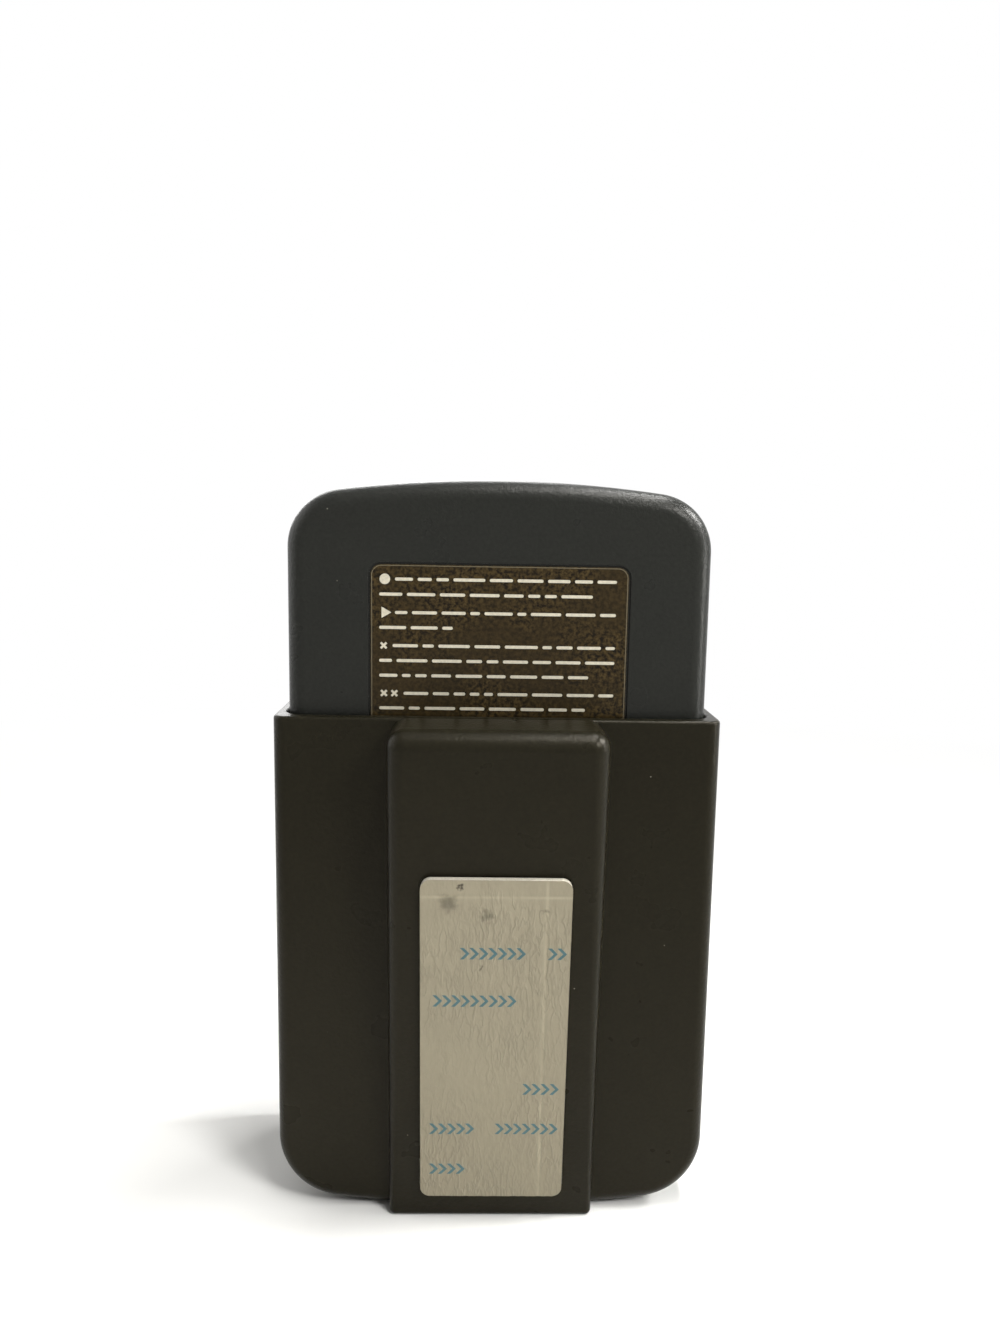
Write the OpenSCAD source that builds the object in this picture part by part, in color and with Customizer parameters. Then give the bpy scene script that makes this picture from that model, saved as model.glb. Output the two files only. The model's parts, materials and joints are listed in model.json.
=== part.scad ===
// Pocket voice recorder standing in its stick-on holder.
// Each piece is drawn lying on its back: x across, y up its length, z from the case's back face to its
// front. stand() then sets it upright, with the buttons towards -Y and the mounting wedge towards +Y.

/* [Recorder case] */
// Width of the recorder
case_w = 58; // [54:1:66]
// Height of the recorder, between the crowns of its two ends
case_h = 103.1; // [100:0.1:112]
// Corner radius of the outline
corner_r = 8; // [6:0.5:9]
// Radius of the gently arched top and bottom ends
end_arc_r = 170; // [150:5:240]
// Rounding of the front and back edges
edge_r = 2.6; // [2.2:0.1:3]
// Wall thickness of both covers
wall = 1.8; // [1.6:0.1:2]
// Height of the seam between the covers above the back face
seam_h = 10; // [9:0.5:11]
// Height of the locating tongue inside the seam
tongue_h = 1; // [0.8:0.1:1.4]
// Thickness of the locating tongue
tongue_t = 0.8; // [0.6:0.1:0.9]
// Width and depth of the shadow groove along the seam
groove = 0.3; // [0.2:0.05:0.4]

/* [Rear label] */
// Width of the label
label_w = 35.2; // [30:0.2:38]
// Distance from the top of the case to the top of the label
label_drop = 11.3; // [8:0.1:14]
// Thickness of the label film
label_t = 0.2; // [0.15:0.05:0.25]
// Corner radius of the label
label_r = 1.6; // [1:0.1:3]
// Depth of the label's recess in the back face
label_recess = 0.25; // [0.25:0.05:0.4]

/* [Battery bay] */
// Number of battery cells side by side
cell_count = 3; // [2:1:3]
// Diameter of a cell
cell_d = 10.5; // [10:0.1:11]
// Length of a cell, with its button
cell_l = 44.5; // [43:0.1:46]
// Length of a contact spring, pressed by its cell
spring_l = 4; // [3.5:0.1:5]
// Wire diameter of a contact spring
spring_wire = 0.6; // [0.5:0.05:0.8]
// Thickness of the sheet metal contacts
contact_t = 0.4; // [0.3:0.05:0.5]
// Thickness of the battery door
door_t = 1.4; // [1.2:0.1:1.6]
// Thickness of the bay's end and side walls
bay_wall = 1.4; // [1.2:0.1:1.6]
// Thickness of the bay's floor
bay_floor = 1; // [0.8:0.1:1.2]
// Height of the bay's lower end above the bottom of the case
bay_rise = 7; // [6.5:0.1:8]

/* [Circuit board] */
// Thickness of the circuit board
board_t = 1.2; // [1:0.1:1.6]
// Height of a push switch body
switch_h = 1.8; // [1.5:0.1:2.4]
// Width of a push switch body
switch_w = 6; // [5:0.5:7]
// Diameter of a switch plunger
plunger_d = 3.2; // [2.4:0.1:3.6]
// Length of the voice chip's body
chip_l = 18; // [12:0.5:18]
// Width of the voice chip's body
chip_w = 7.5; // [5:0.5:8]
// Height of the voice chip's body
chip_h = 2.2; // [1.5:0.1:2.4]

/* [Buttons] */
// Travel of a button
key_travel = 0.6; // [0.4:0.05:0.7]
// Height of a button above the front face
key_proud = 0.8; // [0.75:0.05:1]
// Thickness of the flange that keeps a button in the case
key_flange = 0.7; // [0.6:0.05:0.9]
// Diameter of the record and play buttons
large_key_d = 13; // [10:0.5:14]
// Width of the two erase buttons
small_key_w = 11; // [9:0.5:13]
// Height of the two erase buttons
small_key_h = 6; // [5:0.5:7]
// Distance between the left and right buttons
key_pitch = 26; // [24:0.5:27]
// Distance from the upper to the lower row of buttons
key_row = 18; // [16:0.5:20]

/* [Speaker] */
// Diameter of the speaker
speaker_d = 36; // [32:0.5:37]
// Distance from the top of the case to the speaker's rim
speaker_drop = 6.5; // [5:0.5:7]
// Diameter of one hole of the grille
grille_hole = 1.7; // [1.2:0.1:2]
// Distance between the rings of holes
grille_pitch = 3.3; // [3:0.1:3.6]
// Number of rings of holes around the middle one
grille_rings = 4; // [2:1:4]
// Diameter of the speaker's magnet
magnet_d = 18; // [14:0.5:20]

/* [Small parts] */
// Diameter of the lamp's lens
lamp_d = 3; // [2:0.1:3.4]
// Diameter of the microphone capsule
mic_d = 6; // [4:0.5:6.5]
// Height of the microphone capsule
mic_h = 2.2; // [1.5:0.1:2.4]
// Shank diameter of the screws
screw_d = 2.5; // [2:0.1:2.6]
// Head diameter of the screws
screw_head_d = 5; // [4:0.1:5.2]

/* [Holder] */
// Height of the holder
holder_h = 72.5; // [60:0.5:80]
// Thickness of the holder's sides, bottom and front lips
holder_wall = 1.4; // [1:0.05:2]
// Thickness of the holder's back plate
holder_back = 2; // [1.8:0.1:3]
// How far the front lips reach over the recorder's sides
lip_reach = 3.4; // [3:0.1:3.5]
// Height of the front lip over the recorder's bottom
lip_h = 4.5; // [4:0.1:5]
// Rounding of the holder's outer edges
holder_edge_r = 1.9; // [1.2:0.1:2.2]
// Depth of the flat that the holder stands on
base_trim = 0.25; // [0.15:0.05:0.4]
// Clearance between the recorder and the holder
slide_gap = 0.25; // [0.2:0.05:0.4]

/* [Mounting wedge] */
// Width of the wedge
wedge_w = 29; // [26:0.5:40]
// Thickness of the wedge at its top
wedge_top = 9.4; // [8:0.1:12]
// Thickness of the wedge at its bottom
wedge_bottom = 1.6; // [1.6:0.1:2.4]
// Rounding of the wedge's top edges
wedge_round = 2.4; // [1.6:0.1:3.6]
// Rounding of the wedge's bottom edges
wedge_bottom_round = 0.8; // [0.5:0.1:0.8]

/* [Adhesive pad] */
// Width of the pad
pad_w = 20; // [15:0.5:24]
// Length of the pad
pad_l = 49; // [30:0.5:54]
// Distance from the bottom of the wedge to the pad
pad_rise = 4.2; // [3:0.1:8]
// Corner radius of the pad
pad_r = 1.4; // [0.5:0.1:3]
// Thickness of the foam
foam_t = 0.9; // [0.5:0.1:1.5]
// Thickness of the release liner
liner_t = 0.2; // [0.1:0.05:0.3]
// Depth of the pad's seat in the wedge
pad_seat = 0.25; // [0.1:0.05:0.4]

/* [Hidden] */
$fn = 64;

// Clearances
touch = 0.05;         // between faces that rest on each other
fit = 0.15;           // around a piece that is laid in place
key_gap = 0.25;       // around a button in the front cover
key_play = 0.1;       // between a button's flange and the front cover
plunger_gap = 0.2;    // around a plunger in its switch
plunger_spare = 0.15; // of a plunger's way out, past the button's travel
cell_gap = 0.3;       // between a cell and the bay's floor
cell_spread = 0.4;    // between two cells
contact_gap = 0.1;    // on each side of a contact plate
board_gap = 0.2;      // between the bay's floor and the circuit board
speaker_gap = 2.5;    // between the circuit board and the speaker's rim
screw_gap = 0.05;     // around a screw's shank in its boss
head_gap = 0.3;       // around a sunk screw head
screw_spare = 0.5;    // beyond the tip of a screw
overcut = 1;          // by which a cut runs past a face

// Stack of pieces from the battery door to the front face, which sets the case's thickness
cell_z = door_t + fit + touch + cell_d / 2;
bay_floor_z = cell_z + cell_d / 2 + cell_gap;
board_z = bay_floor_z + bay_floor + board_gap;
board_front_z = board_z + board_t;
switch_top_z = board_front_z + switch_h;
plunger_out = key_travel + plunger_spare;
key_z = switch_top_z + plunger_out + touch;
front_inner_z = key_z + key_flange + key_play;
case_d = front_inner_z + wall;

// Outline of the case
end_sweep = asin((case_w / 2 - corner_r) / (end_arc_r - corner_r));
corner_x = case_w / 2 - corner_r;
corner_y = case_h / 2 - end_arc_r + (end_arc_r - corner_r) * cos(end_sweep);
case_low = holder_wall + slide_gap - base_trim;
case_mid = case_low + case_h / 2;
case_top = case_low + case_h;
end_fn = 144;
edge_fn = 24;
hull_fn = 32;

// Battery bay and door
cell_pitch = cell_d + cell_spread;
bay_w = cell_count * cell_pitch + 2 * touch;
bay_low = case_low + bay_rise;
bay_l = 2 * contact_t + 3 * contact_gap + spring_l + cell_l + touch;
bay_high = bay_low + bay_l;
bay_mid = (bay_low + bay_high) / 2;
door_w = bay_w + 2 * bay_wall;
door_low = bay_low - bay_wall;
door_high = bay_high + bay_wall;
door_tab_w = 10;
door_tab_l = 5;
tab_seat_t = 1;
door_tongue_w = 5;
door_tongue_h = 1.1;
door_tongue_reach = 1.2;
door_tongue_low = door_low - bay_wall - door_tongue_reach;
door_screw_y = door_high + door_tab_l / 2;

// Cells, contacts and springs
cell_edge_r = 0.6;
cell_button_d = 3.8;
cell_button_h = 0.9;
contact_inset = 0.8;
contact_w = cell_d - 2 * contact_inset;
tail_w = 2;
spring_d = 7;
spring_taper = 1.2;
spring_turns = 3;
spring_steps = 8;
spring_sides = 6;

// Middle of the speaker
speaker_y = case_top - speaker_drop - speaker_d / 2;

// Label
label_high = case_top - label_drop;
label_gap = 1.2;
label_low = door_high + door_tab_l + label_gap;
label_l = label_high - label_low;

// Circuit board, in front of the battery bay and below the speaker
board_side = 2.4;
board_w = case_w - 2 * (wall + board_side);
board_over = 2.6;
board_low = bay_low - board_over;
board_high = speaker_y - speaker_d / 2 - speaker_gap;
board_tongue_w = 34;
board_tongue_h = 9;
board_screw_rise = 4;
board_screw_drop = 6.5;
board_screw_x = (door_w + board_w) / 4;
board_screw_low = board_low + board_tongue_h + board_screw_rise;
board_screw_high = board_high - board_screw_drop;

// Buttons, lamp and microphone
key_drop = 14;
key_high = board_high - key_drop;
key_low = key_high - key_row;
key_mid = (key_high + key_low) / 2;
key_rim = 1;
key_edge_r = 0.7;
dish_depth = 0.5;
switch_floor = 0.3;
lamp_drop = 5.5;
lamp_y = board_high - lamp_drop;
lamp_flange = 0.4;
lamp_flange_h = 0.8;
lamp_proud = 0.4;
mic_rise = 5;
mic_y = board_low + mic_rise;
mic_edge_r = 0.3;
mic_hole_d = 1.4;
boot_wall = 1;
boot_hole_d = 2;

// Parts on the circuit board
chip_lift = 0.1;
pin_pitch = 1.27;
pin_w = 0.45;
pin_t = 0.25;
pin_out = 0.6;
pin_root = 0.2;
side_part_x = (door_w / 2 + case_w / 2 - wall) / 2;
side_part_y = (board_screw_low + board_screw_high) / 2;
can_d = 5;
can_h = 7;
can_edge_r = 0.5;
crystal_l = 10.5;
crystal_w = 4;
crystal_h = 3.4;
crystal_rim = 0.35;
crystal_rim_h = 0.4;

// Speaker
ring_wall = 1.2;
ring_h = 2.7;
cloth_t = 0.3;
cone_t = 0.45;
cone_gap = 0.6;
cap_h = 1;
frame_t = 0.8;
cone_z = front_inner_z - touch - cloth_t - touch - cone_t;
frame_z = cone_z - touch - frame_t;
frame_back_z = board_z;
frame_land = 2.5;
frame_back_rim = 2.5;
frame_back_d = magnet_d + 2 * frame_back_rim;
frame_hole_d = magnet_d / 2;
magnet_h = 3.6;
magnet_edge_r = 0.5;
lead_d = 1;
lead_x = 4;
lead_sides = 8;
lead_dip = 0.2;
lead_lap = 3;

// Screws and bosses
bore_d = screw_d + 2 * screw_gap;
clear_d = screw_d + 4 * screw_gap;
head_round = 0.6;
head_slot_w = 0.6;
head_slot_h = 0.7;
screw_head_h = 1.6;
screw_sink = 3.2;
case_screw_l = 9.5;
case_screw_tip = screw_sink + screw_head_h + case_screw_l;
board_screw_grip = 2.4;
board_screw_l = board_t + board_screw_grip;
door_screw_l = 5;
door_screw_end = door_t + door_screw_l + screw_spare;
boss_d = 6;
boss_end = 0.8;
boss_wall = 1.2;
boss_inset = 6.5;
boss_rise = 8.8;
boss_over = 0.5;
boss_x = case_w / 2 - boss_inset;
boss_low = case_low + boss_rise;
boss_high = board_high + boss_d / 2 + boss_over;
boss_root_z = wall / 2;
boss_front_z = case_d - wall / 2;
board_boss_d = 5;
recess_d = screw_head_d + 2 * head_gap;
shell_boss_d = recess_d + 2 * boss_wall;

// Holder and wedge
back_z = -slide_gap - holder_back;
lip_z = case_d + slide_gap + holder_wall;
window_w = case_w - 2 * lip_reach;
window_low = case_low + lip_h;
window_r = 5;
wedge_screw_drop = 12;
wedge_screw_pitch = 26;
wedge_screw_l = 3.4;
wedge_hole_l = wedge_screw_l + 2 * fit;
wedge_head_z = -slide_gap - 2 * touch;
csk_h = 1.3;
csk_d = screw_head_d + 4 * screw_gap;
wedge_top_y = holder_h - wedge_round;
wedge_top_h = wedge_top - wedge_round;
wedge_low_y = wedge_bottom_round;
wedge_low_h = wedge_bottom - wedge_bottom_round;
wedge_reach = norm([wedge_top_y - wedge_low_y, wedge_top_h - wedge_low_h]);
wedge_slope = atan2(wedge_top_h - wedge_low_h, wedge_top_y - wedge_low_y)
    + asin((wedge_round - wedge_bottom_round) / wedge_reach);
wedge_face_h = (wedge_low_h * cos(wedge_slope) - wedge_low_y * sin(wedge_slope) + wedge_bottom_round)
    / cos(wedge_slope);

// Upright frame: the box's middle is at y = 0
back_y = (lip_z - wedge_top + back_z) / 2;

// Sets a piece that was drawn lying on its back upright
module stand() {
    translate([0, back_y, 0]) rotate([90, 0, 0]) children();
}

// Copies a piece to the left and to the right
module both_sides() {
    children();
    mirror([1, 0, 0]) children();
}

// A quarter disc, round towards +x and towards the sign of dir
module quarter(x, z, r, dir) {
    intersection() {
        translate([x, z]) circle(r);
        translate([x, dir > 0 ? z : z - r]) square(r);
    }
}

// Section of a wall from x = inner to outer, with its outer edges rounded by r0 below and r1 above
module edge_section(inner, outer, z0, z1, r0, r1) {
    translate([inner, z0 + r0]) square([outer - inner, z1 - z0 - r0 - r1]);
    if (r0 > 0) {
        translate([inner, z0]) square([outer - r0 - inner, r0]);
        quarter(outer - r0, z0 + r0, r0, -1);
    }
    if (r1 > 0) {
        translate([inner, z1 - r1]) square([outer - r1 - inner, r1]);
        quarter(outer - r1, z1 - r1, r1, 1);
    }
}

// The case's outline, grown all round, from z0 to z1, with edges rounded by r0 and r1
module tablet(grow, z0, z1, r0, r1) {
    translate([0, case_mid, 0]) hull() for (end = [0, 1]) mirror([0, end, 0]) {
        both_sides() translate([corner_x, corner_y, 0]) rotate_extrude($fn = hull_fn)
            edge_section(0, corner_r + grow, z0, z1, r0, r1, $fn = edge_fn);
        translate([0, case_h / 2 - end_arc_r, 0]) rotate([0, 0, 90 - end_sweep])
            rotate_extrude(angle = 2 * end_sweep, $fn = end_fn)
                edge_section(end_arc_r - edge_r - wall, end_arc_r + grow, z0, z1, r0, r1, $fn = edge_fn);
    }
}

// A flat plate with round corners, from y = 0 up
module round_plate(w, l, t, r) {
    linear_extrude(t) {
        translate([-w / 2 + r, 0]) square([w - 2 * r, l]);
        translate([-w / 2, r]) square([w, l - 2 * r]);
        for (x = [-1, 1], y = [r, l - r]) translate([x * (w / 2 - r), y]) circle(r);
    }
}

// An upright block with round ends, w long and d wide
module round_bar(w, d, h) {
    linear_extrude(h) {
        square([w - d, d], center = true);
        for (x = [-1, 1]) translate([x * (w - d) / 2, 0]) circle(d = d);
    }
}

// A box centred across x, from y0 to y1 and from z0 to z1
module bar(w, y0, y1, z0, z1) {
    translate([-w / 2, y0, z0]) cube([w, y1 - y0, z1 - z0]);
}

// Everything above or below a height y
module above(y) {
    bar(3 * case_w, y, y + 2 * case_h, -2 * case_d, 3 * case_d);
}
module below(y) {
    bar(3 * case_w, y - 2 * case_h, y, -2 * case_d, 3 * case_d);
}

// Ring of points around point i of a route; ref is a direction that the route never follows
function unit(v) = v / norm(v);
function ring(route, i, d, sides, ref) =
    let (t = unit(route[min(i + 1, len(route) - 1)] - route[max(i - 1, 0)]))
    let (across = unit(cross(t, ref)), over = cross(across, t))
    [for (k = [0:sides - 1]) let (a = 360 * k / sides)
        route[i] + d / 2 * (cos(a) * across + sin(a) * over)];

// Round wire along a route
module tube(route, d, sides, ref) {
    points = [for (i = [0:len(route) - 1]) each ring(route, i, d, sides, ref)];
    last = (len(route) - 1) * sides;
    walls = [for (i = [0:len(route) - 2], k = [0:sides - 1])
        let (a = i * sides + k, b = i * sides + (k + 1) % sides)
            each [[a, b, a + sides], [b, b + sides, a + sides]]];
    ends = [for (k = [1:sides - 2]) each [[0, k + 1, k], [last, last + k, last + k + 1]]];
    polyhedron(points, concat(walls, ends));
}

// Places of the screws
module at_case_screws() {
    for (x = [-1, 1], y = [boss_low, boss_high]) translate([x * boss_x, y, 0]) children();
}
module at_board_screws() {
    for (x = [-1, 1], y = [board_screw_low, board_screw_high])
        translate([x * board_screw_x, y, 0]) children();
}
module at_wedge_screws() {
    for (i = [0, 1]) translate([0, holder_h - wedge_screw_drop - i * wedge_screw_pitch, 0]) children();
}

// Places of the buttons in the upper and in the lower row
module at_large_keys() {
    for (x = [-1, 1]) translate([x * key_pitch / 2, key_high, 0]) children();
}
module at_small_keys() {
    for (x = [-1, 1]) translate([x * key_pitch / 2, key_low, 0]) children();
}

// Axes of the cells, from the middle of the bay; every second cell lies the other way round
module at_cells() {
    for (i = [0:cell_count - 1])
        translate([(i - (cell_count - 1) / 2) * cell_pitch, bay_mid, cell_z])
            mirror([0, i % 2, 0]) children();
}

// Places of the contact plates, at both ends of each cell
module at_contacts() {
    for (i = [0:cell_count - 1], end = [0, 1])
        translate([(i - (cell_count - 1) / 2) * cell_pitch, end == 0 ? bay_low : bay_high, 0])
            mirror([0, end, 0]) children();
}

// Cross for the driver in a screw head whose top is at z = 0
module head_cross(depth = head_slot_h) {
    for (turn = [0, 90]) rotate([0, 0, turn])
        bar(screw_head_d / 2, -head_slot_w / 2, head_slot_w / 2, -overcut, depth);
}

// Pan head screw with its head's top at z = 0 and its shank pointing up
module pan_screw(l) {
    difference() {
        rotate_extrude() {
            edge_section(0, screw_head_d / 2, 0, screw_head_h, head_round, 0);
            square([screw_d / 2, screw_head_h + l]);
        }
        head_cross();
    }
}

// Holder: a pocket that is open at the top and at the front
module holder() {
    color("#2b2822") stand() difference() {
        tablet(slide_gap + holder_wall, back_z, lip_z, holder_edge_r, holder_edge_r);
        tablet(slide_gap, -slide_gap, case_d + slide_gap, edge_r + slide_gap, edge_r + slide_gap);
        above(holder_h);
        below(0);
        translate([0, window_low, case_d]) round_plate(window_w, case_h, case_d, window_r);
        at_wedge_screws() translate([0, 0, wedge_head_z]) {
            translate([0, 0, -holder_back - overcut]) cylinder(d = clear_d, h = holder_back + 2 * overcut);
            translate([0, 0, -csk_h]) cylinder(d1 = clear_d, d2 = csk_d, h = csk_h);
            cylinder(d = csk_d, h = overcut);
        }
    }
}

// Places a piece on the wedge's sloping face: y up the slope from the bottom edge, z out of the face
module on_wedge() {
    translate([0, 0, back_z - wedge_face_h]) rotate([-wedge_slope, 0, 0]) rotate([0, 180, 0])
        children();
}

// One corner of the wedge: a post with a round end
module wedge_post(y, h, r) {
    translate([wedge_w / 2 - r, y, 0]) {
        cylinder(r = r, h = h, $fn = hull_fn);
        translate([0, 0, h]) sphere(r, $fn = hull_fn);
    }
}

// Wedge behind the holder, thick at the top, with a shallow seat for the adhesive pad
module mounting_wedge() {
    color("#2a2720") stand() difference() {
        translate([0, 0, back_z - touch]) mirror([0, 0, 1]) hull() both_sides() {
            wedge_post(wedge_top_y, wedge_top_h - touch, wedge_round);
            wedge_post(wedge_low_y, wedge_low_h - touch, wedge_bottom_round);
        }
        on_wedge() translate([0, pad_rise - fit, -pad_seat])
            round_plate(pad_w + 2 * fit, pad_l + 2 * fit, wedge_top, pad_r + fit);
        at_wedge_screws() translate([0, 0, back_z - wedge_hole_l]) cylinder(d = bore_d, h = wedge_hole_l);
    }
}

// Countersunk screws from inside the holder into the wedge
module wedge_screws() {
    color("silver") stand() at_wedge_screws() translate([0, 0, wedge_head_z]) mirror([0, 0, 1]) difference() {
        rotate_extrude() {
            polygon([[0, 0], [screw_head_d / 2, 0], [screw_d / 2, csk_h], [0, csk_h]]);
            square([screw_d / 2, holder_back + wedge_screw_l]);
        }
        head_cross();
    }
}

// Foam of the adhesive pad
module adhesive_pad() {
    color("#d8d4c8") stand() on_wedge() translate([0, pad_rise, touch - pad_seat])
        round_plate(pad_w, pad_l, foam_t, pad_r);
}

// Paper over the foam, peeled off before use
module release_liner() {
    color("#aea692") stand() on_wedge() translate([0, pad_rise, foam_t + 2 * touch - pad_seat])
        round_plate(pad_w, pad_l, liner_t, pad_r);
}

// Walls and floor of the battery bay, open to the back, with slots for the contacts' tails
module battery_bay() {
    difference() {
        bar(door_w, door_low, door_high, door_t + fit, bay_floor_z + bay_floor);
        bar(bay_w, bay_low, bay_high, 0, bay_floor_z);
        at_contacts() bar(tail_w + 2 * fit, 0, contact_t + 4 * contact_gap, cell_z, case_d);
    }
}

// Outline of the battery door with its screw tab, grown all round, from z0 to z1
module door_outline(grow, z0, z1) {
    bar(door_w + 2 * grow, door_low - grow, door_high + grow, z0, z1);
    bar(door_tab_w + 2 * grow, door_high - overcut, door_high + door_tab_l + grow, z0, z1);
}

// Rear cover
module rear_cover() {
    tongue_w = door_tongue_w + 2 * fit;
    tongue_top = wall + door_tongue_h;
    color("#2f3331") stand() difference() {
        union() {
            difference() {
                union() {
                    tablet(0, 0, seam_h, edge_r, 0);
                    tablet(tongue_t - wall, wall, seam_h + tongue_h, 0, 0);
                }
                tablet(-wall, wall, case_d, edge_r - wall, 0);
            }
            at_case_screws() translate([0, 0, boss_root_z])
                cylinder(d = shell_boss_d, h = seam_h - touch - boss_root_z);
            bar(door_tab_w + 2 * bay_wall, door_high, door_high + door_tab_l + bay_wall,
                boss_root_z, wall + tab_seat_t);
            translate([0, door_screw_y, boss_root_z])
                cylinder(d = boss_d, h = door_screw_end + boss_end - boss_root_z);
            battery_bay();
        }
        door_outline(fit, -overcut, door_t + fit);
        bar(bay_w, bay_low, bay_high, -overcut, bay_floor_z);
        both_sides() translate([door_w / 4, 0, 0]) {
            bar(tongue_w, door_tongue_low, bay_low, wall, tongue_top);
            bar(tongue_w, door_low - fit, bay_low, -overcut, tongue_top);
        }
        translate([0, door_screw_y, 0]) cylinder(d = bore_d, h = door_screw_end);
        at_case_screws() {
            translate([0, 0, -overcut]) cylinder(d = recess_d, h = overcut + screw_sink + screw_head_h);
            cylinder(d = clear_d, h = seam_h);
        }
        translate([0, label_low - fit, -overcut])
            round_plate(label_w + 2 * fit, label_l + 2 * fit, overcut + label_recess, label_r + fit);
    }
}

// Rings of holes in front of the speaker
module grille() {
    translate([0, speaker_y, front_inner_z - overcut]) {
        cylinder(d = grille_hole, h = wall + 2 * overcut);
        for (ring = [1:grille_rings], i = [0:6 * ring - 1])
            rotate([0, 0, i * 60 / ring]) translate([ring * grille_pitch, 0, 0])
                cylinder(d = grille_hole, h = wall + 2 * overcut);
    }
}

// Holes for the buttons, the large ones with a dished edge
module key_holes() {
    large_d = large_key_d + 2 * key_gap;
    at_large_keys() {
        translate([0, 0, key_z]) cylinder(d = large_d, h = case_d);
        translate([0, 0, case_d - dish_depth])
            cylinder(d1 = large_d, d2 = large_d + 4 * dish_depth, h = dish_depth);
    }
    at_small_keys() translate([0, 0, key_z])
        round_bar(small_key_w + 2 * key_gap, small_key_h + 2 * key_gap, case_d);
}

// Front cover
module front_cover() {
    groove_z = seam_h + groove;
    speaker_fit_d = speaker_d + 2 * fit;
    color("#2f3331") stand() difference() {
        union() {
            difference() {
                tablet(0, seam_h, case_d, 0, edge_r);
                tablet(-wall, 0, front_inner_z, 0, edge_r - wall);
            }
            at_case_screws() translate([0, 0, seam_h]) cylinder(d = boss_d, h = boss_front_z - seam_h);
            at_board_screws() translate([0, 0, board_front_z + touch])
                cylinder(d = board_boss_d, h = boss_front_z - board_front_z - touch);
            translate([0, speaker_y, front_inner_z - ring_h]) difference() {
                cylinder(d = speaker_fit_d + 2 * ring_wall, h = ring_h + wall / 2);
                translate([0, 0, -overcut]) cylinder(d = speaker_fit_d, h = ring_h + overcut);
            }
        }
        tablet(tongue_t + fit - wall, 0, seam_h + tongue_h + fit, 0, 0);
        difference() {
            tablet(overcut, seam_h - overcut, groove_z, 0, 0);
            tablet(-groove, seam_h - 2 * overcut, groove_z + overcut, 0, 0);
        }
        grille();
        key_holes();
        at_case_screws() cylinder(d = bore_d, h = case_screw_tip + screw_spare);
        at_board_screws() translate([0, 0, board_z]) cylinder(d = bore_d, h = board_screw_l + screw_spare);
        translate([0, lamp_y, key_z]) cylinder(d = lamp_d + 2 * fit, h = case_d);
        translate([0, mic_y, key_z]) cylinder(d = mic_hole_d, h = case_d);
    }
}

// Label in the back face's recess
module rear_label() {
    color("#382e20") stand() translate([0, label_low, label_recess - label_t - touch / 2])
        round_plate(label_w, label_l, label_t, label_r);
}

// Battery door, flush with the back face, with two tongues under the cover's lower edge
module battery_door() {
    tongue_top = wall + door_tongue_h - fit;
    color("#2e3230") stand() difference() {
        union() {
            door_outline(0, 0, door_t);
            both_sides() translate([door_w / 4, 0, 0]) {
                bar(door_tongue_w, door_tongue_low + fit, bay_low, wall + touch, tongue_top);
                bar(door_tongue_w, door_low, bay_low, 0, tongue_top);
            }
        }
        translate([0, door_screw_y, -overcut]) {
            cylinder(d = clear_d, h = door_t + 2 * overcut);
            cylinder(d = recess_d, h = overcut + door_t / 2);
        }
    }
}

// Screw of the battery door
module door_screw() {
    color("silver") stand() translate([0, door_screw_y, touch]) difference() {
        rotate_extrude() {
            square([screw_head_d / 2, door_t / 2 - 2 * touch]);
            square([screw_d / 2, door_t + door_screw_l]);
        }
        head_cross(door_t / 4);
    }
}

// Screws that hold the covers together
module case_screws() {
    color("silver") stand() at_case_screws() translate([0, 0, screw_sink - touch])
        pan_screw(case_screw_l);
}

// Screws that hold the circuit board to the front cover
module board_screws() {
    color("silver") stand() at_board_screws() translate([0, 0, board_z - screw_head_h - touch])
        pan_screw(board_screw_l);
}

// Battery cells
module battery_cells() {
    low = (spring_l + contact_gap - touch - cell_l) / 2;
    color("#4a6a58") stand() at_cells() translate([0, low, 0]) rotate([-90, 0, 0]) rotate_extrude() {
        edge_section(0, cell_d / 2, 0, cell_l - cell_button_h, cell_edge_r, cell_edge_r);
        square([cell_button_d / 2, cell_l]);
    }
}

// Contact plates at the ends of the bay, with tails up to the circuit board
module battery_contacts() {
    far = contact_gap + contact_t;
    color("#c9cdd0") stand() at_contacts() {
        bar(contact_w, contact_gap, far, cell_z - contact_w / 2, cell_z + contact_w / 2);
        bar(tail_w, contact_gap, far, cell_z, board_z - touch);
    }
}

// Springs between a contact plate and each cell, narrower towards the cell
module battery_springs() {
    low = 2 * contact_gap + contact_t + spring_wire / 2 - bay_l / 2;
    wide = (spring_d - spring_wire) / 2;
    steps = spring_steps * spring_turns;
    route = [for (i = [0:steps])
        let (a = 360 * i / spring_steps, r = wide - spring_taper * i / steps)
            [r * cos(a), low + (spring_l - spring_wire) * i / steps, r * sin(a)]];
    color("silver") stand() at_cells() tube(route, spring_wire, spring_sides, [0, 1, 0]);
}

// Circuit board, with a tongue between the lower screw bosses
module circuit_board() {
    shoulder_y = board_low + board_tongue_h;
    color("#2f6b3a") stand() difference() {
        union() {
            bar(board_w, shoulder_y, board_high, board_z, board_front_z);
            bar(board_tongue_w, board_low, shoulder_y + overcut, board_z, board_front_z);
        }
        at_board_screws() translate([0, 0, board_z - overcut])
            cylinder(d = clear_d, h = board_t + 2 * overcut);
    }
}

// One bent pin of the voice chip, from the chip's side down to the board
module chip_pin() {
    translate([0, -pin_w / 2, 0]) {
        translate([-pin_root, 0, chip_h / 2]) cube([pin_root + pin_out, pin_w, pin_t]);
        translate([pin_out - pin_t, 0, 0]) cube([pin_t, pin_w, chip_h / 2 + pin_t]);
        translate([pin_out - pin_t, 0, 0]) cube([pin_out, pin_w, pin_t]);
    }
}

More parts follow.
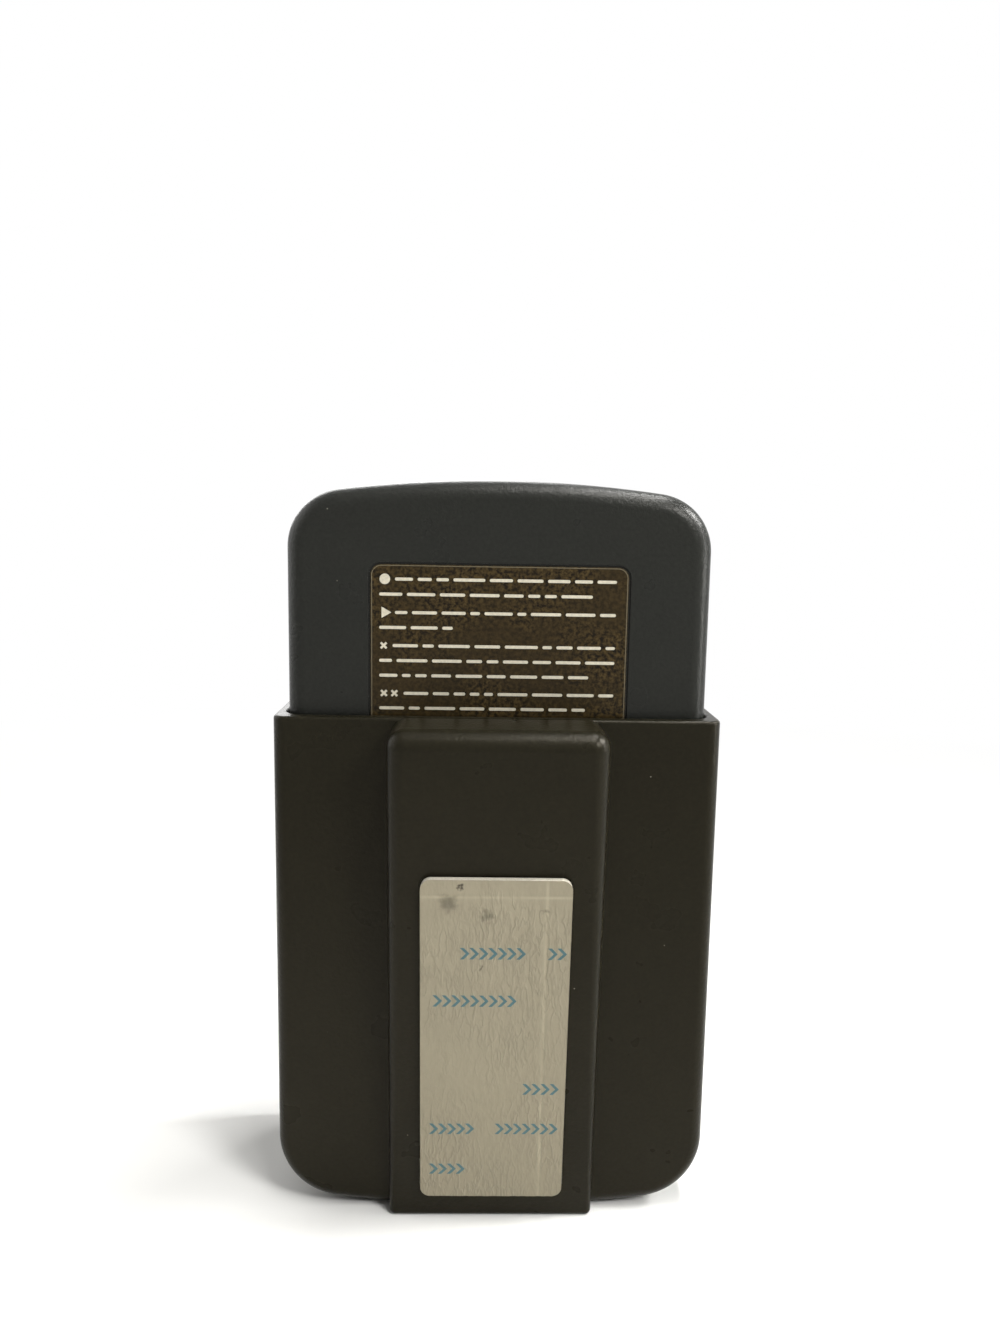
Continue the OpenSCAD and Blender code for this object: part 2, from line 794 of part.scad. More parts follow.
// Voice chip with its two rows of pins
module voice_chip() {
    pins = floor(chip_l / pin_pitch);
    color("#1c1c1c") stand() translate([0, key_mid, board_front_z + touch]) {
        bar(chip_w, -chip_l / 2, chip_l / 2, chip_lift, chip_h);
        for (i = [0:pins - 1]) both_sides()
            translate([chip_w / 2, (i - (pins - 1) / 2) * pin_pitch, 0]) chip_pin();
    }
}

// Capacitors on the back of the board, beside the battery bay
module capacitors() {
    color("#27346b") stand() for (y = [-1, 1])
        translate([side_part_x, side_part_y + y * can_d, board_z - touch]) mirror([0, 0, 1])
            rotate_extrude() edge_section(0, can_d / 2, 0, can_h, 0, can_edge_r);
}

// Crystal on the other side of the bay
module crystal() {
    color("silver") stand() translate([-side_part_x, side_part_y, board_z - touch])
        mirror([0, 0, 1]) rotate([0, 0, 90]) {
            round_bar(crystal_l, crystal_w, crystal_rim_h);
            round_bar(crystal_l - 2 * crystal_rim, crystal_w - 2 * crystal_rim, crystal_h);
        }
}

// Bodies of the four push switches
module push_switches() {
    color("#3a3a3c") stand() {
        at_large_keys() push_switch();
        at_small_keys() push_switch();
    }
}
module push_switch() {
    translate([0, 0, board_front_z + touch]) difference() {
        bar(switch_w, -switch_w / 2, switch_w / 2, 0, switch_h - touch);
        translate([0, 0, switch_floor]) cylinder(d = plunger_d + 2 * plunger_gap, h = switch_h);
    }
}

// Plunger of one switch, which the button pushes
module plunger(x, y) {
    low = board_front_z + switch_floor + key_travel + fit;
    color("#d9d6cc") stand() translate([x * key_pitch / 2, y, low])
        cylinder(d = plunger_d, h = key_z - touch - low);
}
module record_plunger() { plunger(-1, key_high); }
module play_plunger() { plunger(1, key_high); }
module erase_last_plunger() { plunger(-1, key_low); }
module erase_all_plunger() { plunger(1, key_low); }

// Section of a button from its middle out: flange, straight wall and rounded edge
module key_section(d) {
    square([d / 2 + key_rim, key_flange]);
    edge_section(0, d / 2, 0, case_d + key_proud - key_z, 0, key_edge_r);
}

// Round button
module large_key(x, tint) {
    color(tint) stand() translate([x * key_pitch / 2, key_high, key_z])
        rotate_extrude() key_section(large_key_d);
}

// Oblong button
module small_key(x, tint) {
    straight = small_key_w - small_key_h;
    color(tint) stand() translate([x * key_pitch / 2, key_low, key_z]) {
        translate([straight / 2, 0, 0]) rotate([90, 0, -90]) linear_extrude(straight)
            both_sides() key_section(small_key_h);
        for (turn = [0, 180]) rotate([0, 0, turn]) translate([straight / 2, 0, 0])
            rotate([0, 0, -90]) rotate_extrude(angle = 180) key_section(small_key_h);
    }
}
module record_button() { large_key(-1, "#9c2f26"); }
module play_button() { large_key(1, "#5c6160"); }
module erase_last_button() { small_key(-1, "#5c6160"); }
module erase_all_button() { small_key(1, "#5c6160"); }

// Steel basket of the speaker
module speaker_frame() {
    rim = speaker_d / 2;
    inner = rim - frame_land;
    back = frame_back_d / 2;
    hole = frame_hole_d / 2;
    front_z = frame_z + frame_t;
    floor_z = frame_back_z + frame_t;
    color("#8d9194") stand() translate([0, speaker_y, 0]) rotate_extrude() polygon([
        [hole, frame_back_z], [back, frame_back_z], [inner, frame_z], [rim, frame_z],
        [rim, front_z], [inner - frame_t, front_z], [back - frame_t, floor_z], [hole, floor_z]
    ]);
}

// Paper cone, with its rim on the basket's flange and a dust cap in the middle
module speaker_cone() {
    rim = speaker_d / 2 - fit;
    edge = speaker_d / 2 - frame_land - frame_t - fit;
    throat = frame_hole_d / 2;
    low = frame_back_z + frame_t + cone_gap - cone_z;
    color("#1d1d1f") stand() translate([0, speaker_y, cone_z]) rotate_extrude() polygon([
        [0, low + cap_h - cone_t], [throat, low], [edge, 0], [rim, 0],
        [rim, cone_t], [edge - cone_t / 2, cone_t], [throat, low + cone_t], [0, low + cap_h]
    ]);
}

// Magnet behind the basket
module speaker_magnet() {
    color("#55585a") stand() translate([0, speaker_y, frame_back_z - touch]) mirror([0, 0, 1])
        rotate_extrude() edge_section(0, magnet_d / 2, 0, magnet_h, 0, magnet_edge_r);
}

// Leads from the flange of the speaker's basket over the upper edge of the circuit board
module speaker_leads() {
    tag_y = speaker_y - speaker_d / 2 + frame_land / 2;
    tag_z = frame_z - touch;
    low_z = board_front_z - lead_dip;
    end_z = board_front_z + lead_d / 2 + touch;
    route = [
        [0, tag_y, tag_z], [0, tag_y, tag_z - lead_d], [0, tag_y - 0.7 * lead_d, low_z],
        [0, board_high + 1.2 * lead_d, low_z], [0, board_high + 0.4 * lead_d, end_z],
        [0, board_high - lead_lap / 2, end_z], [0, board_high - lead_lap, end_z]
    ];
    color("#b3271f") stand() both_sides() translate([lead_x, 0, 0])
        tube(route, lead_d, lead_sides, [1, 0, 0]);
}

// Cloth between the grille and the speaker
module grille_cloth() {
    color("#161616") stand() translate([0, speaker_y, front_inner_z - touch - cloth_t])
        cylinder(d = speaker_d - 2 * fit, h = cloth_t);
}

// Microphone capsule
module microphone() {
    color("#a9adb0") stand() translate([0, mic_y, board_front_z + touch])
        rotate_extrude() edge_section(0, mic_d / 2, 0, mic_h, 0, mic_edge_r);
}

// Rubber boot that seals the microphone against the front cover
module microphone_boot() {
    boot_h = front_inner_z - board_front_z - 2 * touch;
    color("#17181a") stand() translate([0, mic_y, board_front_z + touch]) difference() {
        cylinder(d = mic_d + 2 * boot_wall, h = boot_h);
        translate([0, 0, -overcut]) cylinder(d = mic_d + 2 * touch, h = overcut + mic_h + touch);
        cylinder(d = boot_hole_d, h = boot_h + overcut);
    }
}

// Red lamp
module record_lamp() {
    lens_h = case_d + lamp_proud - board_front_z - touch;
    color("#c8261c") stand() translate([0, lamp_y, board_front_z + touch]) rotate_extrude() {
        square([lamp_d / 2 + lamp_flange, lamp_flange_h]);
        square([lamp_d / 2, lens_h - lamp_d / 2]);
        quarter(0, lens_h - lamp_d / 2, lamp_d / 2, 1);
    }
}

holder();
mounting_wedge();
wedge_screws();
adhesive_pad();
release_liner();
rear_cover();
front_cover();
rear_label();
battery_door();
door_screw();
case_screws();
battery_cells();
battery_springs();
battery_contacts();
circuit_board();
board_screws();
voice_chip();
capacitors();
crystal();
push_switches();
record_button();
play_button();
erase_last_button();
erase_all_button();
record_plunger();
play_plunger();
erase_last_plunger();
erase_all_plunger();
speaker_frame();
speaker_cone();
speaker_magnet();
speaker_leads();
grille_cloth();
microphone();
microphone_boot();
record_lamp();
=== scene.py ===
import json
import math
import random

import bmesh
import bpy
from mathutils import Matrix, Vector, noise


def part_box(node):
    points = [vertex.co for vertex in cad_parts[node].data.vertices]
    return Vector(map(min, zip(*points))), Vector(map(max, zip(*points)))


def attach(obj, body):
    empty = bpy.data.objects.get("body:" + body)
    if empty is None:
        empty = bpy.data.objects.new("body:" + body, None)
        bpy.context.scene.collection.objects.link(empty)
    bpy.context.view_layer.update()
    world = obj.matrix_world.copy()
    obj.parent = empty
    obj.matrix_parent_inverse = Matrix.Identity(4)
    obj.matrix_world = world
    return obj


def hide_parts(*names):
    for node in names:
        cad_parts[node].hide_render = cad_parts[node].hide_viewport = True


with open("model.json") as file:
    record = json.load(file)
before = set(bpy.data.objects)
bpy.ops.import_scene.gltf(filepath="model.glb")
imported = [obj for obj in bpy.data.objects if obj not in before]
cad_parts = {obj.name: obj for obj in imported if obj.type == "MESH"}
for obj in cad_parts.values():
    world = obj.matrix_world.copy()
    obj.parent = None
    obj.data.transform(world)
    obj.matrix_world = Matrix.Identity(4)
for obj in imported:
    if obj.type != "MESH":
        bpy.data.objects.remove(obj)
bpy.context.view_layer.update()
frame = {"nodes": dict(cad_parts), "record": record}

mm = 0.001
past = 1 * mm  # how far a cutter runs past the face that it opens
pick = 0.05 * mm  # slack for edges that are picked by their place
weldGap = 0.002 * mm  # points closer than this become one
scene = bpy.context.scene
mounts = {mount["name"]: mount for mount in frame["record"]["mounts"]}
rng = random.Random(41)


# Small helpers for boxes, colours and meshes

def srgb(*levels):
    shares = [level / 255 for level in levels]
    return tuple(s / 12.92 if s < 0.0405 else ((s + 0.055) / 1.055) ** 2.4 for s in shares) + (1,)


def shade(colour, factor):
    return tuple(c * factor for c in colour[:3]) + (1,)


def middle(node):
    low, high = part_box(node)
    return (low + high) / 2


def addObject(name, data):
    obj = bpy.data.objects.new(name, data)
    scene.collection.objects.link(obj)
    return obj


def objectFrom(name, bm):
    bmesh.ops.recalc_face_normals(bm, faces=bm.faces)
    mesh = bpy.data.meshes.new(name)
    bm.to_mesh(mesh)
    bm.free()
    return addObject(name, mesh)


def evenNormals(obj):
    weigh = obj.modifiers.new("even normals", "WEIGHTED_NORMAL")
    weigh.keep_sharp = True


def smooth(obj, degrees=32, even=True):
    obj.data.shade_smooth()
    obj.data.set_sharp_from_angle(angle=math.radians(degrees))
    if even:
        evenNormals(obj)
    return obj


def dress(obj, material):
    obj.data.materials.clear()
    obj.data.materials.append(material)


def place(obj, body, slot, *nodes, material=None):
    # finish, body and slot of a piece, and the nodes that it stands for
    dress(obj, material or finishes[slot])
    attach(obj, body)
    if nodes:
        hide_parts(*nodes)


def boolean(obj, bm, operation):
    other = objectFrom("tool", bm)
    change = obj.modifiers.new("change", "BOOLEAN")
    change.operation = operation
    change.solver = "EXACT"
    change.object = other
    bpy.context.view_layer.update()
    result = bpy.data.meshes.new_from_object(obj.evaluated_get(bpy.context.evaluated_depsgraph_get()))
    obj.modifiers.clear()
    old = obj.data
    obj.data = result
    bpy.data.meshes.remove(old)
    bpy.data.objects.remove(other)


def cut(obj, bm):
    boolean(obj, bm, "DIFFERENCE")


def join(obj, bm):
    boolean(obj, bm, "UNION")


def soften(obj, width, segments, wanted):
    # rounds the sharp edges that the wanted test picks by their middle point
    sharp, flat = math.radians(35), math.radians(0.05)
    bm = bmesh.new()
    bm.from_mesh(obj.data)
    bmesh.ops.remove_doubles(bm, verts=bm.verts, dist=weldGap)
    bmesh.ops.dissolve_limit(bm, angle_limit=flat, verts=bm.verts, edges=bm.edges)
    edges = [e for e in bm.edges if len(e.link_faces) == 2 and e.calc_face_angle(0) > sharp
             and wanted((e.verts[0].co + e.verts[1].co) / 2)]
    bmesh.ops.bevel(bm, geom=edges, offset=width, offset_type="OFFSET", segments=segments,
                    profile=0.5, affect="EDGES", clamp_overlap=True)
    bm.to_mesh(obj.data)
    bm.free()
    obj.data.update()


# Solids as bmesh, added to one cutter or piece at a time

def addBox(bm, low, high):
    low, high = Vector(low), Vector(high)
    spot = Matrix.Translation((high + low) / 2) @ Matrix.Diagonal((*(high - low), 1))
    bmesh.ops.create_cube(bm, size=1, matrix=spot)


def addGrid(bm, rows):
    # quads between neighbouring rows of equally many points
    for a, b in zip(rows, rows[1:]):
        for k in range(len(a) - 1):
            bm.faces.new((a[k], a[k + 1], b[k + 1], b[k]))


def addLoft(bm, rings):
    # closed skin through rings of equally many points, capped at both ends
    loops = [[bm.verts.new(p) for p in ring] for ring in rings]
    addGrid(bm, [loop + loop[:1] for loop in loops])
    bm.faces.new(loops[0])
    bm.faces.new(loops[-1])


def ringAlongY(x, z, radius, y, sides):
    return [(x + radius * math.cos(a), y, z + radius * math.sin(a))
            for a in (2 * math.pi * i / sides for i in range(sides))]


def addDrum(bm, x, z, profile, sides=48):
    # turned solid about an axis along y; profile is a list of (radius, y)
    addLoft(bm, [ringAlongY(x, z, radius, y, sides) for radius, y in profile])


def roundedRect(width, height, radius, steps=10):
    points = []
    for k, (sx, sz) in enumerate(((1, 1), (-1, 1), (-1, -1), (1, -1))):
        for i in range(steps + 1):
            a = math.pi / 2 * (k + i / steps)
            points.append((sx * (width / 2 - radius) + radius * math.cos(a),
                           sz * (height / 2 - radius) + radius * math.sin(a)))
    return points


def addPlate(bm, outline, x, z, y0, y1):
    addLoft(bm, [[(x + u, y, z + v) for u, v in outline] for y in (y0, y1)])


def solid(add, *sizes):
    # a new bmesh with one solid in it
    bm = bmesh.new()
    add(bm, *sizes)
    return bm


# Outline of the recorder's case, which the holder follows
caseForm = {
    "cornerRadius": 8 * mm,
    "endRadius": 170 * mm,
    "edgeRadius": 2.6 * mm,
    "edgeBreak": 0.12 * mm,
    "wall": 1.8 * mm,
    "cornerSteps": 22,
    "endSteps": 18,
    "edgeSteps": 9,
}
rearLow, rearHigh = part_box("rear_cover")
frontLow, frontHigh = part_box("front_cover")
backY = rearHigh.y
faceY = frontLow.y
seamY = frontHigh.y
caseWidth = rearHigh.x - rearLow.x
caseHeight = rearHigh.z - rearLow.z
caseMid = (rearHigh.z + rearLow.z) / 2


def caseOutline(grow):
    # two corners with a crowned end between them, then the same turned half round
    corner, end = caseForm["cornerRadius"], caseForm["endRadius"]
    cornerX = caseWidth / 2 - corner
    sweep = math.asin(cornerX / (end - corner))
    endZ = caseHeight / 2 - end
    cornerZ = endZ + (end - corner) * math.cos(sweep)
    quarter = math.pi / 2
    points = []

    def arc(cx, cz, radius, start, stop, steps, inner=False):
        for i in range(1 if inner else 0, steps if inner else steps + 1):
            a = start + (stop - start) * i / steps
            points.append((cx + radius * math.cos(a), cz + radius * math.sin(a)))

    for flip, base in ((1, 0), (-1, math.pi)):
        steps = caseForm["cornerSteps"]
        first = base + quarter - sweep
        last = base + quarter + sweep
        arc(flip * cornerX, flip * cornerZ, corner + grow, base, first, steps)
        arc(0, flip * endZ, end + grow, first, last, caseForm["endSteps"], inner=True)
        arc(-flip * cornerX, flip * cornerZ, corner + grow, last, base + 2 * quarter, steps)
    return points


def caseRing(grow, y):
    return [(u, y, caseMid + v) for u, v in caseOutline(grow)]


def edgeRings(grow, y, radius, inward):
    # rings round an outer edge at depth y, from the flat face to the side wall
    # inward is the way along y into the solid
    steps = caseForm["edgeSteps"]
    return [caseRing(grow - radius * (1 - math.sin(a)), y + inward * radius * (1 - math.cos(a)))
            for a in (math.pi / 2 * i / steps for i in range(steps + 1))]


def tablet(grow, yBack, yFront, backRadius, frontRadius):
    # solid of the case's outline, with a rounded edge where a radius is given
    rings = edgeRings(grow, yBack, backRadius, -1) if backRadius else [caseRing(grow, yBack)]
    rings += edgeRings(grow, yFront, frontRadius, 1)[::-1] if frontRadius else [caseRing(grow, yFront)]
    return solid(addLoft, rings)


print("helpers ready, case", [round(v / mm, 2) for v in (caseWidth, caseHeight, backY - faceY)])


# Materials

class Graph:
    # the nodes of a material or of the world
    def __init__(self, owner):
        owner.use_nodes = True
        self.nodes = owner.node_tree.nodes
        self.links = owner.node_tree.links

    def feed(self, socket, value):
        # links another node's output, or sets a plain value
        if hasattr(value, "is_linked"):
            self.links.new(value, socket)
        else:
            socket.default_value = value

    def fill(self, node, **sockets):
        for name, value in sockets.items():
            self.feed(node.inputs[name.replace("_", " ")], value)
        return node

    def add(self, kind, **sockets):
        return self.fill(self.nodes.new("ShaderNode" + kind), **sockets)

    def work(self, kind, how, *values):
        # a node of arithmetic on numbers or vectors
        node = self.add(kind)
        node.operation = how
        for socket, value in zip(node.inputs, values):
            self.feed(socket, value)
        return node

    def math(self, how, *values):
        return self.work("Math", how, *values).outputs["Value"]

    def seenRay(self):
        # 1 for camera, mirror and see-through rays
        path = self.add("LightPath").outputs
        seen = path["Is Camera Ray"]
        for name in ("Is Glossy Ray", "Is Transmission Ray"):
            seen = self.math("MAXIMUM", seen, path[name])
        return seen

    def show(self, output, *sources):
        # sources are a share and the two shaders that it mixes
        blend = self.add("MixShader")
        for socket, source in zip(blend.inputs, sources):
            self.links.new(source, socket)
        self.links.new(blend.outputs["Shader"], self.nodes[output].inputs["Surface"])


class Finish(Graph):
    def __init__(self, name, colour, rough, specular=0.5, metallic=0.0):
        self.material = bpy.data.materials.new(name)
        self.material.diffuse_color = colour
        super().__init__(self.material)
        self.shader = self.nodes["Principled BSDF"]
        self.set(Base_Color=colour, Roughness=rough, Specular_IOR_Level=specular, Metallic=metallic)
        self.where = self.add("TexCoord").outputs["Object"]

    def set(self, **sockets):
        self.fill(self.shader, **sockets)
        return self

    def paint(self, value):
        self.set(Base_Color=value)

    def roughen(self, value):
        self.set(Roughness=value)

    def bump(self, value, depth, strength=1.0):
        node = self.add("Bump", Strength=strength, Distance=depth, Height=value)
        before = self.shader.inputs["Normal"].links
        if before:
            self.links.new(before[0].from_socket, node.inputs["Normal"])
        self.set(Normal=node.outputs["Normal"])

    def stretch(self, scale):
        return self.add("Mapping", Vector=self.where, Scale=scale).outputs["Vector"]

    def grain(self, size, detail=2.0, rough=0.5, where=None):
        node = self.add("TexNoise", Scale=1 / size, Detail=detail, Roughness=rough)
        return self.fill(node, Vector=where or self.where).outputs["Fac"]

    def cells(self, size, feature="F1", output="Distance"):
        node = self.add("TexVoronoi", Vector=self.where, Scale=1 / size)
        node.feature = feature
        return node.outputs[output]

    def axis(self, name):
        return self.add("SeparateXYZ", Vector=self.where).outputs[name]

    def height(self, low, high):
        # 0 at the low end, 1 at the high end
        return self.math("DIVIDE", self.math("SUBTRACT", self.axis("Z"), low), high - low)

    def ramp(self, value, stops):
        node = self.add("ValToRGB", Fac=value)
        band = node.color_ramp
        while len(band.elements) < len(stops):
            band.elements.new(0.5)
        for element, (spot, colour) in zip(band.elements, stops):
            element.position = spot
            element.color = colour if hasattr(colour, "__len__") else (colour, colour, colour, 1)
        return node.outputs["Color"]

    def tones(self, value, colour, dark, light, low=0.3, high=0.7):
        # from a darker to a lighter shade of one colour
        return self.ramp(value, [(low, shade(colour, dark)), (high, shade(colour, light))])

    def mix(self, amount, a, b):
        node = self.add("Mix")
        node.data_type = "RGBA"
        return self.fill(node, Factor=amount, A=a, B=b).outputs["Result"]

    def spread(self, value, low, high, start=0, end=1):
        # start to end becomes low to high
        node = self.add("MapRange", Value=value, From_Min=start, From_Max=end, To_Min=low, To_Max=high)
        return node.outputs["Result"]

    def fade(self, value, inner, outer):
        # 1 up to the inner value, 0 past the outer one
        return self.spread(value, 1, 0, inner, outer)

    def near(self, point, inner, outer, where=None):
        gap = self.work("VectorMath", "DISTANCE", where or self.where, point)
        return self.fade(gap.outputs["Value"], inner, outer)

    def line(self, axis, spot, inner, outer):
        gap = self.math("ABSOLUTE", self.math("SUBTRACT", self.axis(axis), spot))
        return self.fade(gap, inner, outer)

    def ragged(self, size, reach):
        # places shifted by noise, by about half the reach along each axis
        push = self.add("TexNoise", Vector=self.where, Scale=1 / size).outputs["Color"]
        moved = self.work("VectorMath", "MULTIPLY_ADD", push, (reach, reach, reach), self.where)
        return moved.outputs["Vector"]


def dusted(finish, colour, cell=2.6 * mm, reach=0.045, share=0.22, pale=srgb(150, 146, 132)):
    # a scatter of pale specks, one in some of the cells
    spot = finish.ramp(finish.cells(cell), [(0, 1), (reach, 0)])
    lucky = finish.ramp(finish.cells(cell, output="Color"), [(1 - share, 0), (1 - share + 0.01, 1)])
    return finish.mix(finish.math("MULTIPLY", spot, lucky), colour, pale)


def mouldedPlastic(name, colour, gloss, specular, sparkSize, sparkDepth, rough=0.29, swing=0.05,
                   cloud=14 * mm, patch=6 * mm, wave=7 * mm, waveDepth=0.04 * mm):
    finish = Finish(name, colour, rough, specular).set(Specular_Tint=gloss)
    tone = finish.tones(finish.grain(cloud, 3), colour, 0.86, 1.16)
    spark = finish.grain(sparkSize, 3, 0.65)
    fleck = finish.tones(spark, colour, 0.65, 1.35)
    finish.paint(dusted(finish, finish.mix(0.5, tone, fleck)))
    finish.roughen(finish.spread(finish.grain(patch, 3), rough - swing, rough + swing))
    finish.bump(spark, sparkDepth)
    finish.bump(finish.grain(wave, 2), waveDepth)
    return finish.material


def labelFilm(name, colour, peelSize=0.55 * mm, peelDepth=0.07 * mm, cloud=5 * mm, patch=8 * mm):
    finish = Finish(name, colour, 0.28, 0.12)
    peel = finish.grain(peelSize, 3, 0.6)
    tone = finish.tones(finish.grain(cloud, 3), colour, 0.8, 1.25)
    fleck = finish.tones(peel, colour, 0.2, 2.8, 0.4, 0.64)
    # the peel is strong in some patches and faint between them
    rumpled = finish.ramp(finish.grain(patch, 2), [(0.4, 0.3), (0.6, 0.9)])
    finish.paint(finish.mix(rumpled, tone, fleck))
    finish.roughen(finish.spread(peel, 0.24, 0.4))
    finish.bump(finish.math("MULTIPLY", peel, rumpled), peelDepth)
    return finish.material


def linerPaper(name, top, bottom, fibreSize=0.3 * mm, fibreDepth=0.03 * mm, cloudSize=5 * mm,
               crinkleSize=1.0 * mm, crinkleDepth=0.07 * mm, paintedCreaseShade=0.22, patchSize=9 * mm,
               lineReach=(0.05 * mm, 0.3 * mm), tornSize=1.1 * mm, tornReach=2.4 * mm,
               dirt=srgb(52, 46, 36)):
    finish = Finish(name, top, 0.62, 0.25)
    fibre = finish.grain(fibreSize, 4, 0.65, finish.stretch((1, 1, 0.5)))
    cloud = finish.grain(cloudSize, 4, 0.6)
    tone = finish.ramp(finish.height(linerLow.z, linerHigh.z), [(0, bottom), (1, top)])
    tone = finish.mix(finish.ramp(cloud, [(0.35, 0.0), (0.7, 0.5)]), tone, shade(top, 0.76))
    tone = finish.mix(finish.ramp(fibre, [(0.4, 0.0), (0.8, 0.2)]), tone, shade(top, 1.15))
    # short crinkles that come in patches, each painted darker as painted shade along the crease
    crinkle = finish.grain(crinkleSize, 2, 0.55, finish.stretch((1, 1, 0.3)))
    ridge = finish.ramp(crinkle, [(0.4, 0), (0.5, 1), (0.6, 0)])
    patch = finish.ramp(finish.grain(patchSize, 2), [(0.4, 0.1), (0.62, 1)])
    folds = finish.math("MULTIPLY", ridge, patch)
    # painted shade along the creases
    tone = finish.mix(finish.math("MULTIPLY", folds, paintedCreaseShade), tone, shade(top, 0.6))
    # paler along the pressed lines, then dark smudges with ragged edges
    for axis, spot in linerLines:
        line = finish.line(axis, spot, *lineReach)
        paler = finish.math("MULTIPLY", line, finish.spread(cloud, -0.4, 1.2))
        tone = finish.mix(paler, tone, shade(top, 1.3))
    torn = finish.ragged(tornSize, tornReach)
    shift = Vector((1, 1, 1)) * tornReach / 2
    for point, inner, outer, dark in linerMarks:
        smudge = finish.near(point + shift, inner, outer, torn)
        tone = finish.mix(finish.math("MULTIPLY", smudge, dark), tone, dirt)
    finish.paint(tone)
    finish.roughen(finish.spread(fibre, 0.5, 0.75))
    finish.bump(fibre, fibreDepth, 0.8)
    finish.bump(folds, crinkleDepth)
    return finish.material


def printAndHighlightInk(name, colour, rough=0.5, patch=0.35 * mm, tooth=0.12 * mm, depth=0.004 * mm):
    finish = Finish(name, colour, rough, 0.3)
    finish.paint(finish.tones(finish.grain(patch, 2), colour, 0.82, 1, high=0.65))
    finish.bump(finish.grain(tooth, 1), depth)
    return finish.material


def padFoam(name, colour, bubble=0.22 * mm, depth=0.05 * mm):
    finish = Finish(name, colour, 0.85, 0.2)
    bubbles = finish.cells(bubble)
    finish.paint(finish.tones(bubbles, colour, 0.7, 1, 0, 0.6))
    finish.bump(bubbles, depth)
    return finish.material


def keyPlastic(name, colour, patch=4 * mm, tooth=0.14 * mm, depth=0.008 * mm):
    finish = Finish(name, colour, 0.4, 0.4)
    cloud = finish.grain(patch, 3)
    finish.paint(finish.tones(cloud, colour, 0.88, 1.1))
    finish.roughen(finish.spread(cloud, 0.33, 0.48))
    finish.bump(finish.grain(tooth, 2), depth)
    return finish.material


def clearLens(name, colour, patch=1.4 * mm, haze=0.6 * mm):
    finish = Finish(name, colour, 0.12, 0.5).set(Transmission_Weight=0.55, IOR=1.49)
    finish.paint(finish.tones(finish.grain(patch, 2), colour, 0.8, 1.1))
    finish.roughen(finish.spread(finish.grain(haze, 2), 0.08, 0.18))
    return finish.material


def wovenCloth(name, colour, pitch, depth=0.08 * mm):
    waveRate = 0.314  # scale of the wave texture for one thread in each unit of length
    finish = Finish(name, colour, 0.9, 0.15).set(Sheen_Weight=0.2)
    threads = []
    for direction in ("X", "Z"):
        wave = finish.add("TexWave", Vector=finish.where, Scale=waveRate / pitch)
        wave.bands_direction = direction
        threads.append(wave.outputs["Fac"])
    weave = finish.math("MULTIPLY", *threads)
    finish.paint(finish.tones(weave, colour, 0.4, 1.5, 0.1, 0.8))
    finish.bump(weave, depth)
    return finish.material


def softRubber(name, colour, bloom=1.5 * mm, tooth=0.2 * mm, depth=0.01 * mm):
    finish = Finish(name, colour, 0.7, 0.3)
    finish.paint(finish.tones(finish.grain(bloom, 3), colour, 0.8, 1.4, high=0.75))
    finish.bump(finish.grain(tooth, 2), depth)
    return finish.material


def platedMetal(name, colour, rough, lines, stain=1.8 * mm, scratch=0.3 * mm, depth=0.004 * mm):
    finish = Finish(name, colour, rough, 0.5, 1.0)
    brush = finish.grain(scratch, 3, 0.6, finish.stretch(lines))
    finish.paint(finish.tones(finish.grain(stain, 3), colour, 0.78, 1, low=0.25))
    finish.roughen(finish.spread(brush, rough - 0.1, rough + 0.12))
    finish.bump(brush, depth)
    return finish.material


def cellSleeve(name, colour, band, wear=1.2 * mm, paler=srgb(170, 170, 165), patch=2 * mm):
    finish = Finish(name, colour, 0.28, 0.5)
    height = finish.height(cellLow.z, cellHigh.z)
    tone = finish.ramp(height, [(0.0, band), (0.27, band), (0.28, colour), (1.0, colour)])
    scuff = finish.ramp(finish.grain(wear, 4), [(0.55, 0), (0.8, 0.25)])
    finish.paint(finish.mix(scuff, tone, paler))
    finish.roughen(finish.spread(finish.grain(patch, 3), 0.2, 0.4))
    return finish.material


def boardLaminate(name, colour, copper, mesh=3.2 * mm, weave=0.4 * mm, depth=0.03 * mm):
    finish = Finish(name, colour, 0.35, 0.5)
    track = finish.ramp(finish.cells(mesh, "DISTANCE_TO_EDGE"), [(0.03, 1), (0.07, 0)])
    finish.paint(finish.mix(track, finish.tones(finish.grain(weave, 2), colour, 0.85, 1.15), copper))
    finish.bump(track, depth)
    return finish.material


def speckled(name, colour, rough, size, depth, metallic=0.0):
    finish = Finish(name, colour, rough, 0.4, metallic)
    fleck = finish.grain(size, 3, 0.65)
    finish.paint(finish.tones(fleck, colour, 0.75, 1.25))
    finish.roughen(finish.spread(fleck, rough - 0.08, rough + 0.08))
    finish.bump(fleck, depth)
    return finish.material


# The pad's face, with the lines and marks that the liner's paper shows
linerLow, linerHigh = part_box("release_liner")
cellLow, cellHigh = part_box("battery_cells")
padOut = Vector(mounts["pad_face"]["axis"])
padUp = Vector((0, -padOut.z, padOut.y))
padMid = Vector(mounts["pad_face"]["pos_m"])
padForm = {
    "size": (linerHigh.x - linerLow.x, 49 * mm),
    "corner": 1.4 * mm,
    "linerThick": 0.2 * mm,
    "paper": 0.09 * mm,
    "foamThick": 0.9 * mm,
    "foamGap": 0.05 * mm,
    "foamBulge": 0.05 * mm,
    "foamInset": 0.08 * mm,
    "foamSteps": 8,
    "steps": (120, 196),
}
foamTop = -padForm["linerThick"] - padForm["foamGap"]
foamBack = foamTop - padForm["foamThick"]


def onPad(across, up, out):
    # across runs to the picture's right, which is -x
    return padMid + Vector((-across, 0, 0)) + padUp * up + padOut * out


def padSpot(fromLeft, fromTop):
    width, length = padForm["size"]
    return onPad(fromLeft - width / 2, length / 2 - fromTop, 0)


